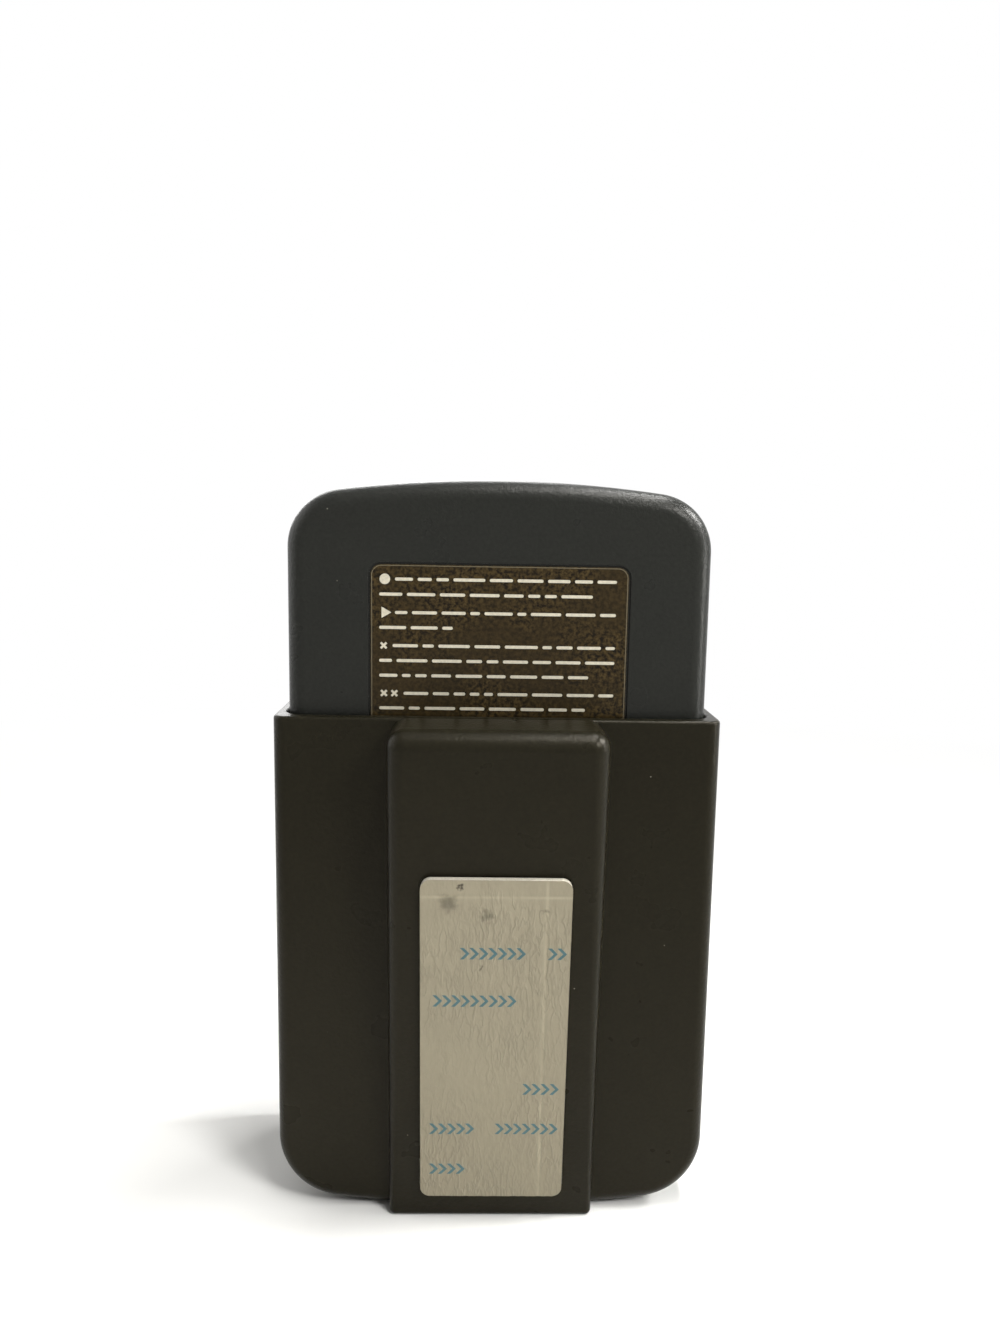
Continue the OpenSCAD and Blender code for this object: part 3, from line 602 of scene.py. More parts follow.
linerPress = {"fromTop": 2.4 * mm, "fromRight": 3.3 * mm, "width": 0.4 * mm, "depth": 0.05 * mm}
linerLines = [
    ("Z", padSpot(0, linerPress["fromTop"]).z),
    ("X", padSpot(padForm["size"][0] - linerPress["fromRight"], 0).x),
]
linerMarks = [
    # place, inner and outer reach, darkness
    (padSpot(5.3 * mm, 1.1 * mm), 0.1 * mm, 0.5 * mm, 1.0),
    (padSpot(3.7 * mm, 3.3 * mm), 0.4 * mm, 1.6 * mm, 0.5),
    (padSpot(8.8 * mm, 5.0 * mm), 0.3 * mm, 1.0 * mm, 0.45),
    (padSpot(8.1 * mm, 12.6 * mm), 0.05 * mm, 0.4 * mm, 0.7),
    (padSpot(16.4 * mm, 4.3 * mm), 0.1 * mm, 0.6 * mm, 0.4),
]


# One finish for each material slot of the record, then the inks and the painted edge highlight
finishes = {
    "case_plastic": mouldedPlastic("case plastic", srgb(30, 31, 28), srgb(255, 252, 246),
                                   specular=0.18, sparkSize=0.5 * mm, sparkDepth=0.07 * mm),
    "holder_plastic": mouldedPlastic("holder plastic", srgb(24, 22, 14), srgb(255, 246, 226),
                                     specular=0.13, sparkSize=0.55 * mm, sparkDepth=0.06 * mm),
    "label_film": labelFilm("label film", srgb(43, 34, 17)),
    "liner_paper": linerPaper("liner paper", srgb(151, 143, 122), srgb(138, 130, 110)),
    "pad_foam": padFoam("pad foam", srgb(196, 190, 174)),
    "key_plastic": keyPlastic("grey key plastic", srgb(92, 97, 96)),
    "record_key_plastic": keyPlastic("red key plastic", srgb(150, 42, 34)),
    "plunger_plastic": keyPlastic("plunger plastic", srgb(217, 214, 204)),
    "lamp_lens": clearLens("red lens", srgb(196, 24, 18)),
    "grille_fabric": wovenCloth("grille cloth", srgb(34, 34, 35), 0.35 * mm),
    "boot_rubber": softRubber("boot rubber", srgb(26, 26, 28)),
    "screw_steel": platedMetal("zinc plated steel", srgb(128, 128, 125), 0.36, (1, 1, 0.15)),
    "contact_metal": platedMetal("nickel plate", srgb(204, 203, 197), 0.26, (0.15, 1, 1)),
    "cell_sleeve": cellSleeve("cell sleeve", srgb(70, 104, 86), srgb(34, 36, 38)),
    "board_laminate": boardLaminate("board laminate", srgb(42, 98, 54), srgb(62, 128, 72)),
    "chip_resin": speckled("chip resin", srgb(28, 28, 29), 0.55, 0.25 * mm, 0.01 * mm),
    "capacitor_sleeve": speckled("capacitor sleeve", srgb(38, 50, 108), 0.3, 0.9 * mm, 0.005 * mm),
    "cone_paper": speckled("cone paper", srgb(30, 30, 31), 0.9, 0.3 * mm, 0.03 * mm),
    "magnet_ferrite": speckled("magnet ferrite", srgb(84, 87, 89), 0.5, 0.4 * mm, 0.01 * mm, 0.6),
    "lead_insulation": softRubber("lead insulation", srgb(170, 36, 28)),
}
labelInk = printAndHighlightInk("white label print", srgb(208, 201, 181))
linerInk = printAndHighlightInk("blue liner print", srgb(74, 105, 110), 0.6)
# a pale line painted as the highlight along the label's edge
labelEdgeHighlight = printAndHighlightInk("painted label edge highlight", srgb(104, 95, 74))
keyInk = printAndHighlightInk("pale key print", srgb(214, 212, 202))
print("finishes", len(finishes))


# Camera, fitted to the object's edges in the 1000 x 1330 picture
cameraView = {
    "spot": Vector((2.81, 140.38, 98.60)) * mm,
    "yaw": math.radians(-1.264),
    "pitch": math.radians(7.993),
    "roll": math.radians(0.963),
    "focalPixels": 1000,
    "pictureSize": (1000, 1330),
    "sensor": 36,
    "clipStart": 0.005,
}


def addCamera():
    view = cameraView
    yaw, pitch, roll = view["yaw"], view["pitch"], view["roll"]
    level = Vector((math.sin(yaw), -math.cos(yaw), 0))
    right = Vector((-math.cos(yaw), -math.sin(yaw), 0))
    ahead = level * math.cos(pitch) - Vector((0, 0, math.sin(pitch)))
    up = right.cross(ahead)
    tiltRight = right * math.cos(roll) + up * math.sin(roll)
    tiltUp = up * math.cos(roll) - right * math.sin(roll)
    turn = Matrix((tiltRight, tiltUp, -ahead)).transposed().to_4x4()
    data = bpy.data.cameras.new("picture camera")
    data.sensor_width = view["sensor"]
    data.lens = view["focalPixels"] / max(view["pictureSize"]) * view["sensor"]
    data.clip_start = view["clipStart"]
    scene.camera = addObject("picture camera", data)
    scene.camera.matrix_world = Matrix.Translation(view["spot"]) @ turn


addCamera()
print("camera")


# Rear half of the case
rearForm = {
    "recess": 0.25 * mm,
    "labelGap": 0.15 * mm,
    "labelCorner": 1.6 * mm,
    "doorGap": 0.15 * mm,
    "doorDepth": 1.55 * mm,
    "bayWall": 1.4 * mm,
    "bayFloor": 1.0 * mm,
    "cellGap": 0.3 * mm,
    "screwHead": 2.5 * mm,
    "screwRecess": 2.8 * mm,
    "screwSink": 4.8 * mm,
    "screwHole": 1.35 * mm,
    "bossRadius": 4.0 * mm,
    "bossGap": 0.05 * mm,
    "tabWidth": 10 * mm,
    "tabLength": 5 * mm,
}
labelLow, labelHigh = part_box("rear_label")
labelWidth = labelHigh.x - labelLow.x
labelHeight = labelHigh.z - labelLow.z
labelMid = middle("rear_label").z
doorLow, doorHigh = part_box("battery_door")
bayTop = doorHigh.z - rearForm["tabLength"]
bayLow = 2 * middle("battery_cells").z - bayTop


def caseScrewSpots():
    low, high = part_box("case_screws")
    head = rearForm["screwHead"]
    return [(side * (high.x - head), z) for side in (-1, 1) for z in (low.z + head, high.z - head)]


def doorOutline(gap):
    # the door's opening, with a notch at the top for its screw tab
    half, tab = doorHigh.x + gap, rearForm["tabWidth"] / 2 + gap
    low, shoulder, top = bayLow - gap, bayTop + gap, doorHigh.z + gap
    return [(-half, low), (half, low), (half, shoulder), (tab, shoulder), (tab, top),
            (-tab, top), (-tab, shoulder), (-half, shoulder)]


def makeRearShell():
    f, c = rearForm, caseForm
    inWall, out = backY - c["wall"] / 2, backY + past
    shell = objectFrom("rear_shell", tablet(0, backY, seamY, c["edgeRadius"], 0))
    cut(shell, tablet(-c["wall"], backY - c["wall"], seamY - past, c["edgeRadius"] - c["wall"], 0))
    # screw bosses, then the battery bay with the door's opening
    bm = bmesh.new()
    for x, z in caseScrewSpots():
        addDrum(bm, x, z, [(f["bossRadius"], inWall), (f["bossRadius"], seamY + f["bossGap"])])
    join(shell, bm)
    wall, floor = f["bayWall"], cellLow.y - f["cellGap"]
    low, high = (doorLow.x, floor - f["bayFloor"], bayLow), (doorHigh.x, inWall, bayTop)
    join(shell, solid(addBox, low, high))
    low, high = (doorLow.x + wall, floor, bayLow + wall), (doorHigh.x - wall, out, bayTop - wall)
    cut(shell, solid(addBox, low, high))
    cut(shell, solid(addPlate, doorOutline(f["doorGap"]), 0, 0, backY - f["doorDepth"], out))
    # screw holes and the label's recess
    sink = backY - f["screwSink"]
    bm = bmesh.new()
    for x, z in caseScrewSpots():
        addDrum(bm, x, z, [(f["screwRecess"], out), (f["screwRecess"], sink),
                           (f["screwHole"], sink), (f["screwHole"], seamY - past)])
    gap = f["labelGap"]
    outline = roundedRect(labelWidth + 2 * gap, labelHeight + 2 * gap, f["labelCorner"] + gap)
    addPlate(bm, outline, 0, labelMid, out, backY - f["recess"])
    cut(shell, bm)
    soften(shell, c["edgeBreak"], 2, lambda p: p.y > backY - pick)
    place(smooth(shell), "recorder", "case_plastic", "rear_cover")


makeRearShell()
print("rear shell")


# Front half of the case, with the grille and the openings for the keys
frontForm = {
    "groove": 0.3 * mm,
    "grooveBand": 2.0 * mm,
    "grilleHole": 0.85 * mm,
    "grillePitch": 3.3 * mm,
    "grilleRings": 4,
    "grilleSides": 24,
    "keyGap": 0.25 * mm,
    "keyRim": 1.0 * mm,
    "keySides": 96,
    "keyFlat": 0.001 * mm,  # keeps the two round corners of an oblong key's end apart
    "dish": 0.5 * mm,
    "lampGap": 0.15 * mm,
    "lampFlange": 0.4 * mm,
    "micHole": 0.7 * mm,
    "bossRadius": 3.0 * mm,
}
largeKeys = ("record_button", "play_button")
smallKeys = ("erase_last_button", "erase_all_button")


def keyRadius(node):
    low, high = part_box(node)
    return (high.z - low.z) / 2 - frontForm["keyRim"]


def oblong(node, grow):
    low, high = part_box(node)
    rim = frontForm["keyRim"] - grow
    radius = keyRadius(node) + grow - frontForm["keyFlat"]
    return roundedRect(high.x - low.x - 2 * rim, high.z - low.z - 2 * rim, radius, steps=14)


def grilleSpots():
    # one hole in the middle, and rings of six more each time
    x, z = middle("grille_cloth").xz
    spots = [(x, z)]
    for ring in range(1, frontForm["grilleRings"] + 1):
        reach = ring * frontForm["grillePitch"]
        for a in (i * math.pi / 3 / ring for i in range(6 * ring)):
            spots.append((x + reach * math.cos(a), z + reach * math.sin(a)))
    return spots


def makeFrontShell():
    f, c = frontForm, caseForm
    inner = faceY + c["wall"]
    cutIn, cutOut = inner + past, faceY - past
    shell = objectFrom("front_shell", tablet(0, seamY - f["groove"], faceY, 0, c["edgeRadius"]))
    join(shell, tablet(-f["groove"], seamY, seamY - f["grooveBand"], 0, 0))
    cut(shell, tablet(-c["wall"], seamY + past, inner, 0, c["edgeRadius"] - c["wall"]))
    bm = bmesh.new()
    for x, z in caseScrewSpots():
        addDrum(bm, x, z, [(f["bossRadius"], seamY), (f["bossRadius"], inner - c["wall"] / 2)])
    join(shell, bm)
    # grille, key openings, lamp and microphone
    bm = bmesh.new()
    for x, z in grilleSpots():
        addDrum(bm, x, z, [(f["grilleHole"], cutIn), (f["grilleHole"], cutOut)], f["grilleSides"])
    for node in largeKeys:
        hole = keyRadius(node) + f["keyGap"]
        flare = hole + 2 * f["dish"]
        profile = [(hole, cutIn), (hole, faceY + f["dish"]), (flare, faceY), (flare, cutOut)]
        addDrum(bm, *middle(node).xz, profile, f["keySides"])
    for node in smallKeys:
        addPlate(bm, oblong(node, f["keyGap"]), *middle(node).xz, cutIn, cutOut)
    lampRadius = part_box("record_lamp")[1].x - f["lampFlange"] + f["lampGap"]
    for node, radius in (("record_lamp", lampRadius), ("microphone", f["micHole"])):
        addDrum(bm, *middle(node).xz, [(radius, cutIn), (radius, cutOut)])
    cut(shell, bm)
    soften(shell, c["edgeBreak"], 2, lambda p: p.y < faceY + f["dish"] + pick)
    place(smooth(shell), "recorder", "case_plastic", "front_cover")


makeFrontShell()
print("front shell")


# Holder: a pocket, open at the top and at the front
holderLow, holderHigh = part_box("holder")
holderForm = {
    "gap": 0.25 * mm,
    "edgeRadius": 1.9 * mm,
    "lipReach": 3.4 * mm,
    "lipHeight": 4.5 * mm,
    "windowCorner": 5 * mm,
    "screwHole": 1.35 * mm,
    "headRadius": 2.6 * mm,
    "headDepth": 1.3 * mm,
    "rimRound": 0.5 * mm,
    "trimReach": 100 * mm,
}


def makeHolder():
    f = holderForm
    grow = holderHigh.x - caseWidth / 2
    edge, pocketEdge = f["edgeRadius"], caseForm["edgeRadius"] + f["gap"]
    holder = objectFrom("holder_shell", tablet(grow, holderHigh.y, holderLow.y, edge, edge))
    cut(holder, tablet(f["gap"], backY + f["gap"], faceY - f["gap"], pocketEdge, pocketEdge))
    # trimmed flat at the top and at the bottom
    reach = f["trimReach"]
    bm = bmesh.new()
    addBox(bm, (-reach, -reach, holderHigh.z), (reach, reach, 2 * reach))
    addBox(bm, (-reach, -reach, -reach), (reach, reach, 0))
    cut(holder, bm)
    # front window with its lip, and the wedge screws' countersinks
    bm = bmesh.new()
    windowLow = rearLow.z + f["lipHeight"]
    outline = roundedRect(caseWidth - 2 * f["lipReach"], caseHeight, f["windowCorner"], steps=16)
    addPlate(bm, outline, 0, windowLow + caseHeight / 2, faceY + past, holderLow.y - past)
    screwLow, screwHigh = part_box("wedge_screws")
    head, hole = f["headRadius"], f["screwHole"]
    for z in (screwLow.z + head, screwHigh.z - head):
        addDrum(bm, 0, z, [(head, screwLow.y - past), (head, screwLow.y),
                           (hole, screwLow.y + f["headDepth"]), (hole, holderHigh.y + past)])
    cut(holder, bm)
    soften(holder, f["rimRound"], 3, lambda p: p.z > holderHigh.z - pick or p.y < faceY)
    place(smooth(holder), "holder", "holder_plastic", "holder")


makeHolder()
print("holder")


# Wedge behind the holder, with the pad's shallow seat
wedgeLow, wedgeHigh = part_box("mounting_wedge")
wedgeForm = {
    "topRound": 2.4 * mm,
    "bottomRound": 0.8 * mm,
    "bottomThick": 1.6 * mm,
    "seatGap": 0.15 * mm,
    "seatDepth": 0.25 * mm,
    "seatReach": 4 * mm,
    "seatBreak": 0.1 * mm,
    "ballSteps": 40,
    "flatDegrees": 0.3,
    "sharpDegrees": 25,
}


def ballPoints(x, y, z, radius, steps):
    points = []
    for a in (math.pi * i / steps for i in range(steps + 1)):
        points += ringAlongY(x, z, radius * math.sin(a), y + radius * math.cos(a), 2 * steps)
    return points


def makeWedge():
    # hull of four balls and of their rings on the holder's back
    f = wedgeForm
    base = wedgeLow.y
    top, bottom = f["topRound"], f["bottomRound"]
    corners = ((wedgeHigh.z - top, wedgeHigh.y - top, top),
               (wedgeLow.z + bottom, holderHigh.y + f["bottomThick"] - bottom, bottom))
    bm = bmesh.new()
    for side in (-1, 1):
        for z, y, radius in corners:
            x = side * (wedgeHigh.x - radius)
            ball = ballPoints(x, y, z, radius, f["ballSteps"])
            for px, py, pz in ball + ringAlongY(x, z, radius, base, 2 * f["ballSteps"]):
                bm.verts.new((px, max(py, base), pz))
    bmesh.ops.remove_doubles(bm, verts=bm.verts, dist=weldGap)
    hull = bmesh.ops.convex_hull(bm, input=bm.verts)
    inside = [v for v in hull["geom_interior"] if isinstance(v, bmesh.types.BMVert)]
    bmesh.ops.delete(bm, geom=inside, context="VERTS")
    flat = math.radians(f["flatDegrees"])
    bmesh.ops.dissolve_limit(bm, angle_limit=flat, verts=bm.verts, edges=bm.edges)
    wedge = objectFrom("wedge_block", bm)
    # the pad's seat
    width, length = padForm["size"]
    gap = f["seatGap"]
    floor = foamBack - padForm["foamGap"]
    rim = floor + f["seatDepth"] - pick
    outline = roundedRect(width + 2 * gap, length + 2 * gap, padForm["corner"] + gap)
    rings = [[onPad(u, v, out) for u, v in outline] for out in (floor, floor + f["seatReach"])]
    cut(wedge, solid(addLoft, rings))

    def onSeatRim(p):
        away = p - padMid
        besidePad = abs(away.dot(padUp)) < length / 2 + past and abs(p.x) < width / 2 + past
        return besidePad and away.dot(padOut) > rim

    soften(wedge, f["seatBreak"], 2, onSeatRim)
    place(smooth(wedge, f["sharpDegrees"]), "holder", "holder_plastic", "mounting_wedge")


makeWedge()
print("wedge")


# Foam pad and its paper liner
creaseForm = {
    "depth": 0.05 * mm,
    "bend": 0.5 * mm,
    "sharp": 2.6,
    # noise sizes across and up the paper, and a layer for each
    "bendNoise": (3 * mm, 3 * mm, 8.1),
    "ridgeNoise": (1.2 * mm, 2.2 * mm, 3.7),
    "waveNoise": (5 * mm, 9 * mm, 11.2),
    "sharpDegrees": 50,
}


def ripple(across, up, sizes):
    wide, high, layer = sizes
    return noise.noise(Vector((across / wide, up / high, layer)))


def creaseAt(across, up):
    # short creases along the paper, with a few soft waves
    f = creaseForm
    bent = across + f["bend"] * ripple(across, up, f["bendNoise"])
    ridge = 1 - f["sharp"] * abs(ripple(bent, up, f["ridgeNoise"]))
    wave = ripple(across, up, f["waveNoise"])
    return f["depth"] * (0.5 * max(-1, ridge) + 0.5 * wave)


def linerHeight(across, up):
    # distance of the paper's outer face from the mounting face, with the pressed lines near two edges
    width, length = padForm["size"]
    p = linerPress
    line = min(abs(up - (length / 2 - p["fromTop"])), abs(across - (width / 2 - p["fromRight"])))
    pressed = p["depth"] * max(0, 1 - line / p["width"])
    return creaseAt(across, up) - creaseForm["depth"] - pressed


def insideCorner(u, v):
    # draws a point of a square grid in to the rounded corners
    straightX, straightZ = (size / 2 - padForm["corner"] for size in padForm["size"])
    dx = abs(u) - straightX
    dz = abs(v) - straightZ
    if dx <= 0 or dz <= 0:
        return u, v
    pull = max(dx, dz) / math.hypot(dx, dz)
    return math.copysign(straightX + dx * pull, u), math.copysign(straightZ + dz * pull, v)


def makeLiner():
    width, length = padForm["size"]
    columns, rows = padForm["steps"]
    bm = bmesh.new()
    grids = []
    for sink in (0, padForm["paper"]):
        grid = []
        for j in range(rows + 1):
            v = length * (j / rows - 0.5)
            spots = [insideCorner(width * (i / columns - 0.5), v) for i in range(columns + 1)]
            grid.append([bm.verts.new(onPad(u, w, linerHeight(u, w) - sink)) for u, w in spots])
        addGrid(bm, grid)
        grids.append(grid)
    # the cut edge, from the first corner round to it again
    border = [(0, i) for i in range(columns)] + [(j, columns) for j in range(rows)]
    border += [(rows, i) for i in range(columns, 0, -1)] + [(j, 0) for j in range(rows, -1, -1)]
    addGrid(bm, [[grid[j][i] for j, i in border] for grid in grids])
    liner = smooth(objectFrom("liner_sheet", bm), creaseForm["sharpDegrees"], even=False)
    place(liner, "holder", "liner_paper", "release_liner")
    return liner


def makeFoam():
    f = padForm
    width, length = f["size"]
    rings = []
    for i in range(f["foamSteps"] + 1):
        # the cut side bulges a little between the two skins
        t = i / f["foamSteps"]
        bulge = f["foamBulge"] * math.sin(math.pi * t) - f["foamInset"]
        out = foamBack + (foamTop - foamBack) * t
        outline = roundedRect(width + 2 * bulge, length + 2 * bulge, f["corner"] + bulge, steps=12)
        rings.append([onPad(u, v, out) for u, v in outline])
    foam = smooth(objectFrom("foam_pad", solid(addLoft, rings)))
    place(foam, "holder", "pad_foam", "adhesive_pad")
    return foam


foamPad = makeFoam()
linerSheet = makeLiner()

chevronForm = {
    "wide": 0.8 * mm,
    "high": 1.7 * mm,
    "stroke": 0.5 * mm,
    "pitch": 1.25 * mm,
    # distance from the top edge, then start and end from the left edge, in mm
    "groups": ((10.6, 5.3, 14.6), (10.6, 17.0, 20), (17.7, 1.7, 13.3), (31.4, 14.1, 20),
               (37.8, 0, 8.1), (37.8, 10.4, 20), (44.4, 0, 6.8)),
    "lift": 0.012 * mm,
    "inkThick": 0.008 * mm,
    "steps": 6,
    "clear": 0.35 * mm,
}


def addChevron(bm, across, up):
    # one pointed mark that lies on the paper's creases
    f = chevronForm
    rows = []
    for i in range(2 * f["steps"] + 1):
        t = i / f["steps"] - 1
        x = across + (0.5 - abs(t)) * f["wide"]
        z = up + t * f["high"] / 2
        rows.append([bm.verts.new(onPad(u, z, linerHeight(u, z) + f["lift"]))
                     for u in (x - f["stroke"] / 2, x, x + f["stroke"] / 2)])
    addGrid(bm, rows)


def makeLinerMarks():
    # groups cut off by the paper's edges, as on stock that was printed before the pad was cut from it
    f = chevronForm
    width, length = padForm["size"]
    edge = width / 2 - f["clear"] - (f["wide"] + f["stroke"]) / 2
    bm = bmesh.new()
    for fromTop, start, end in f["groups"]:
        for k in range(int((end - start) * mm / f["pitch"])):
            across = start * mm + (k + 0.5) * f["pitch"] - width / 2
            if abs(across) < edge:
                addChevron(bm, across, length / 2 - fromTop * mm)
    marks = objectFrom("liner_marks", bm)
    thick = marks.modifiers.new("ink film", "SOLIDIFY")
    thick.thickness = f["inkThick"]
    place(marks, "holder", "liner_paper", material=linerInk)


makeLinerMarks()
print("pad and liner")


# Plain signs for the keys, which the label repeats
signForm = {
    "thick": 0.015 * mm,
    "sink": 0.002 * mm,
    "size": 3.4 * mm,
    # sides of a round sign, and its radius as a share of the size
    "dot": (48, 0.5),
    "arrow": (3, 0.62),
    "stroke": 0.55 * mm,
    "crossSize": 2.0 * mm,
    "crossSpread": 1.3 * mm,
}


def crossPoints(cx, length, width):
    # outline of two bars that cross at 45 degrees
    long, short = length / 2, width / 2
    points = []
    for turn in range(4):
        a = math.pi / 4 + turn * math.pi / 2
        ux, uz = math.cos(a), math.sin(a)
        for along, aside in ((short, -short), (long, -short), (long, short)):
            points.append((cx + along * ux - aside * uz, along * uz + aside * ux))
    return points


def signShapes(kind, scale=1):
    # a sign's outlines about its middle
    f = signForm
    if kind in ("dot", "arrow"):
        sides, share = f[kind]
        radius = scale * share * f["size"]
        angles = [2 * math.pi * i / sides for i in range(sides)]
        return [[(radius * math.cos(a), radius * math.sin(a)) for a in angles]]
    spots = (0,) if kind == "cross" else (-f["crossSpread"], f["crossSpread"])
    return [crossPoints(scale * x, scale * f["crossSize"], scale * f["stroke"]) for x in spots]


# Label with a sign for each key beside rows of plain dashes
labelForm = {
    "edge": 0.05 * mm,
    "inset": 0.1 * mm,
    "dashHigh": 0.42 * mm,
    "dashRound": 0.45,
    "dashLong": (1.1 * mm, 4.6 * mm),
    "dashGap": 0.62 * mm,
    "marginLeft": 1.3 * mm,
    "marginRight": 1.76 * mm,
    "inkThick": 0.012 * mm,
    "linePitch": 2.05 * mm,
    "firstLine": 2.1 * mm,
    "paragraphGap": 0.42 * mm,
    # each row's share of the full width
    "paragraphs": ((1, 0.9), (1, 0.31), (1, 1, 0.89), (1, 0.88, 0.55)),
    # kind, scale and room of each paragraph's sign
    "signs": (("dot", 0.42, 1.5 * mm), ("arrow", 0.42, 1.5 * mm), ("cross", 0.55, 1.2 * mm),
              ("crosses", 0.55, 2.7 * mm)),
    "rimInset": 0.22 * mm,
    "rimWidth": 0.11 * mm,
}
inkDepths = (labelHigh.y - signForm["sink"], labelHigh.y + labelForm["inkThick"])


def labelRing(inset, y):
    width, height = labelWidth - 2 * inset, labelHeight - 2 * inset
    outline = roundedRect(width, height, rearForm["labelCorner"] - inset, steps=14)
    return [(u, y, labelMid + v) for u, v in outline]


def makeLabel():
    inset, edge, face = labelForm["inset"], labelForm["edge"], labelHigh.y
    steps = ((0, labelLow.y), (0, face - edge), (0.3 * edge, face - 0.3 * edge), (edge, face))
    label = objectFrom("label_plate", solid(addLoft, [labelRing(inset + step, y) for step, y in steps]))
    place(smooth(label), "recorder", "label_film", "rear_label")


def makeLabelEdgeHighlight():
    # a thin pale line just inside the label's edge, a painted highlight along that edge
    low, top = inkDepths
    outer = labelForm["rimInset"]
    inner = outer + labelForm["rimWidth"]
    bm = bmesh.new()
    loops = [[bm.verts.new(p) for p in labelRing(inset, y)]
             for inset, y in ((outer, low), (outer, top), (inner, top), (inner, low))]
    addGrid(bm, [loop + loop[:1] for loop in loops + loops[:1]])
    place(objectFrom("label_edge_highlight", bm), "recorder", "label_film", material=labelEdgeHighlight)


def makeLabelPrint():
    # places are measured from the label's left edge in the picture, and from its top edge
    f = labelForm
    full = labelWidth - f["marginLeft"] - f["marginRight"]
    bm = bmesh.new()
    fromTop = f["firstLine"]
    for paragraph, (kind, scale, room) in zip(f["paragraphs"], f["signs"]):
        for row, share in enumerate(paragraph):
            z = labelHigh.z - fromTop
            left = f["marginLeft"]
            end = left + share * full
            if row == 0:
                signX = labelHigh.x - left - room / 2
                for outline in signShapes(kind, scale):
                    addPlate(bm, [(-u, v) for u, v in outline], signX, z, *inkDepths)
                left += room + f["dashGap"]
            while left < end:
                length = min(rng.uniform(*f["dashLong"]), end - left)
                if end - left - length < f["dashLong"][0] + f["dashGap"]:
                    length = end - left
                dash = roundedRect(length, f["dashHigh"], f["dashRound"] * f["dashHigh"], steps=4)
                addPlate(bm, dash, labelHigh.x - left - length / 2, z, *inkDepths)
                left += length + f["dashGap"]
            fromTop += f["linePitch"]
        fromTop += f["paragraphGap"]
    place(objectFrom("label_print", bm), "recorder", "label_film", material=labelInk)


makeLabel()
makeLabelEdgeHighlight()
makeLabelPrint()
print("label")


# Cloth behind the grille
clothForm = {"rings": 10, "sides": 72}


def makeCloth():
    low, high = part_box("grille_cloth")
    radius = (high.x - low.x) / 2
    reach = [radius * i / clothForm["rings"] for i in range(1, clothForm["rings"] + 1)]
    profile = [(r, high.y) for r in reach] + [(r, low.y) for r in reach[::-1]]
    disc = solid(addDrum, *middle("grille_cloth").xz, profile, clothForm["sides"])
    cloth = smooth(objectFrom("grille_disc", disc))
    place(cloth, "recorder", "grille_fabric", "grille_cloth")


makeCloth()
print("grille cloth")


# Signs on the keys

def makeSigns():
    jobs = (("record", "dot", "record_key_plastic"), ("play", "arrow", "key_plastic"),
            ("erase_last", "cross", "key_plastic"), ("erase_all", "crosses", "key_plastic"))
    for name, kind, slot in jobs:
        key = name + "_button"
        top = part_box(key)[0].y
        bm = bmesh.new()
        for outline in signShapes(kind):
            addPlate(bm, outline, *middle(key).xz, top + signForm["sink"], top - signForm["thick"])
        place(objectFrom(name + "_sign", bm), name + "_key", slot, material=keyInk)


makeSigns()
print("key signs")


# The modelled nodes get their finishes and small rounded edges
nodeForm = {"weld": 0.001 * mm, "round": 0.06 * mm, "segments": 2, "sharpDegrees": 40}
slotOf = {part["node"]: part["material_slot"] for part in frame["record"]["subparts"]}
for node, obj in frame["nodes"].items():
    dress(obj, finishes[slotOf[node]])
    obj.data.shade_smooth()
    weld = obj.modifiers.new("weld", "WELD")
    weld.merge_threshold = nodeForm["weld"]
    rounded = obj.modifiers.new("small rounds", "BEVEL")
    rounded.width = nodeForm["round"]
    rounded.segments = nodeForm["segments"]
    rounded.limit_method = "ANGLE"
    rounded.angle_limit = math.radians(nodeForm["sharpDegrees"])
    evenNormals(obj)
print("nodes with a finish", len(frame["nodes"]))


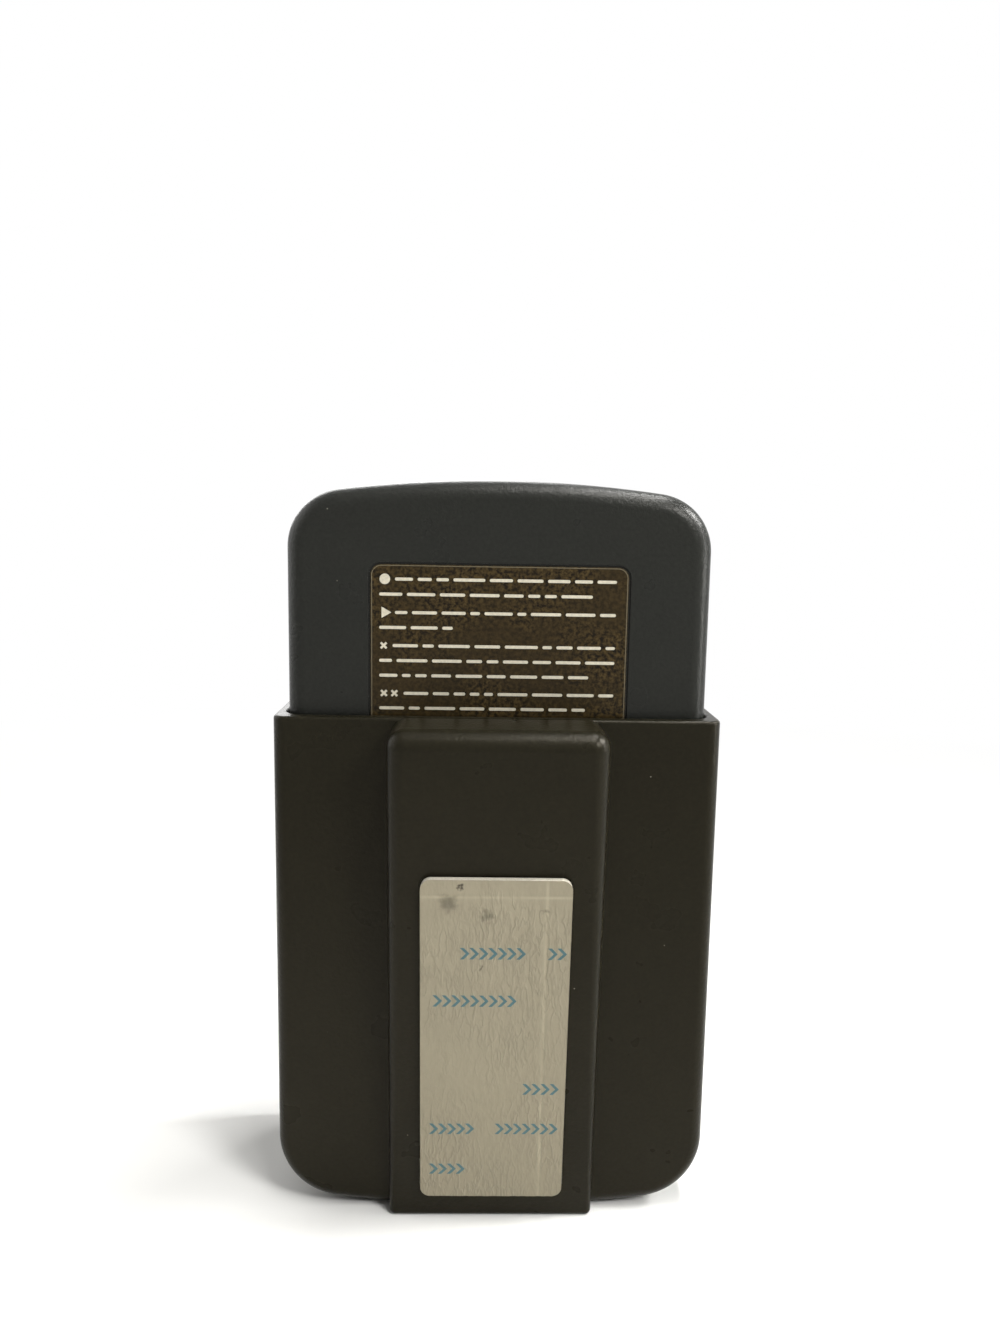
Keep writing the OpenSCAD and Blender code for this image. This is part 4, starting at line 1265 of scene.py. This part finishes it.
# Floor, background and lights
studio = {
    "floorSize": 6.0,
    "floorColour": srgb(238, 237, 233),
    "floorTones": (srgb(236, 235, 231), srgb(241, 240, 236)),
    "floorPatch": 60 * mm,
    # the floor turns white from the first distance to the second, about this place
    "whiteAbout": (0, 0.02, 0),
    "whiteFrom": 0.10,
    "whiteTo": 0.42,
    "ambient": 0.06,
    "lamps": (
        # name, place, aim, width and height, spread in degrees, watts
        ("key", (-0.27, 0.32, 0.37), (0, 0, 0.06), (0.12, 0.12), 180, 1.65),
        ("top strip", (-0.12, 0.03, 0.52), (0, 0.01, 0.08), (0.5, 0.03), 180, 2.5),
        ("corner", (-0.415, -0.01, 0.395), (-0.015, 0, 0.095), (0.15, 0.15), 24, 0.11),
        ("side strip", (-0.42, 0.08, 0.1), (0, 0, 0.06), (0.03, 0.3), 180, 0.9),
        ("fill", (0.8, -0.05, 0.35), (0, 0, 0.05), (0.8, 0.8), 180, 2.5),
        ("front", (0.25, -0.9, 0.55), (0, 0, 0.05), (0.7, 0.7), 180, 6.5),
    ),
}


def makeFloor():
    bm = bmesh.new()
    bmesh.ops.create_grid(bm, x_segments=8, y_segments=8, size=studio["floorSize"] / 2)
    floor = objectFrom("floor", bm)
    finish = Finish("pale floor", studio["floorColour"], 0.8, 0.1)
    dark, light = studio["floorTones"]
    finish.paint(finish.ramp(finish.grain(studio["floorPatch"], 3), [(0.3, dark), (0.7, light)]))
    close = finish.near(studio["whiteAbout"], studio["whiteFrom"], studio["whiteTo"])
    shown = finish.math("MULTIPLY", finish.math("SUBTRACT", 1.0, close), finish.seenRay())
    glow = finish.add("Emission").outputs["Emission"]
    finish.show("Material Output", shown, finish.shader.outputs["BSDF"], glow)
    dress(floor, finish.material)


def makeWorld():
    scene.world = bpy.data.worlds.new("studio")
    graph = Graph(scene.world)
    skies = (graph.nodes["Background"], graph.add("Background"))
    for sky, strength in zip(skies, (studio["ambient"], 1)):
        graph.fill(sky, Color=(1, 1, 1, 1), Strength=strength)
    graph.show("World Output", graph.seenRay(), *[sky.outputs["Background"] for sky in skies])


def makeLamps():
    for name, spot, aim, size, spread, watts in studio["lamps"]:
        data = bpy.data.lights.new(name + " lamp", "AREA")
        data.shape = "RECTANGLE"
        data.size, data.size_y = size
        data.spread = math.radians(spread)
        data.energy = watts
        lamp = addObject(name + " lamp", data)
        lamp.location = spot
        lamp.rotation_euler = (Vector(aim) - Vector(spot)).to_track_quat("-Z", "Y").to_euler()


makeFloor()
makeWorld()
makeLamps()
scene.view_settings.view_transform = "Standard"
print("stage")
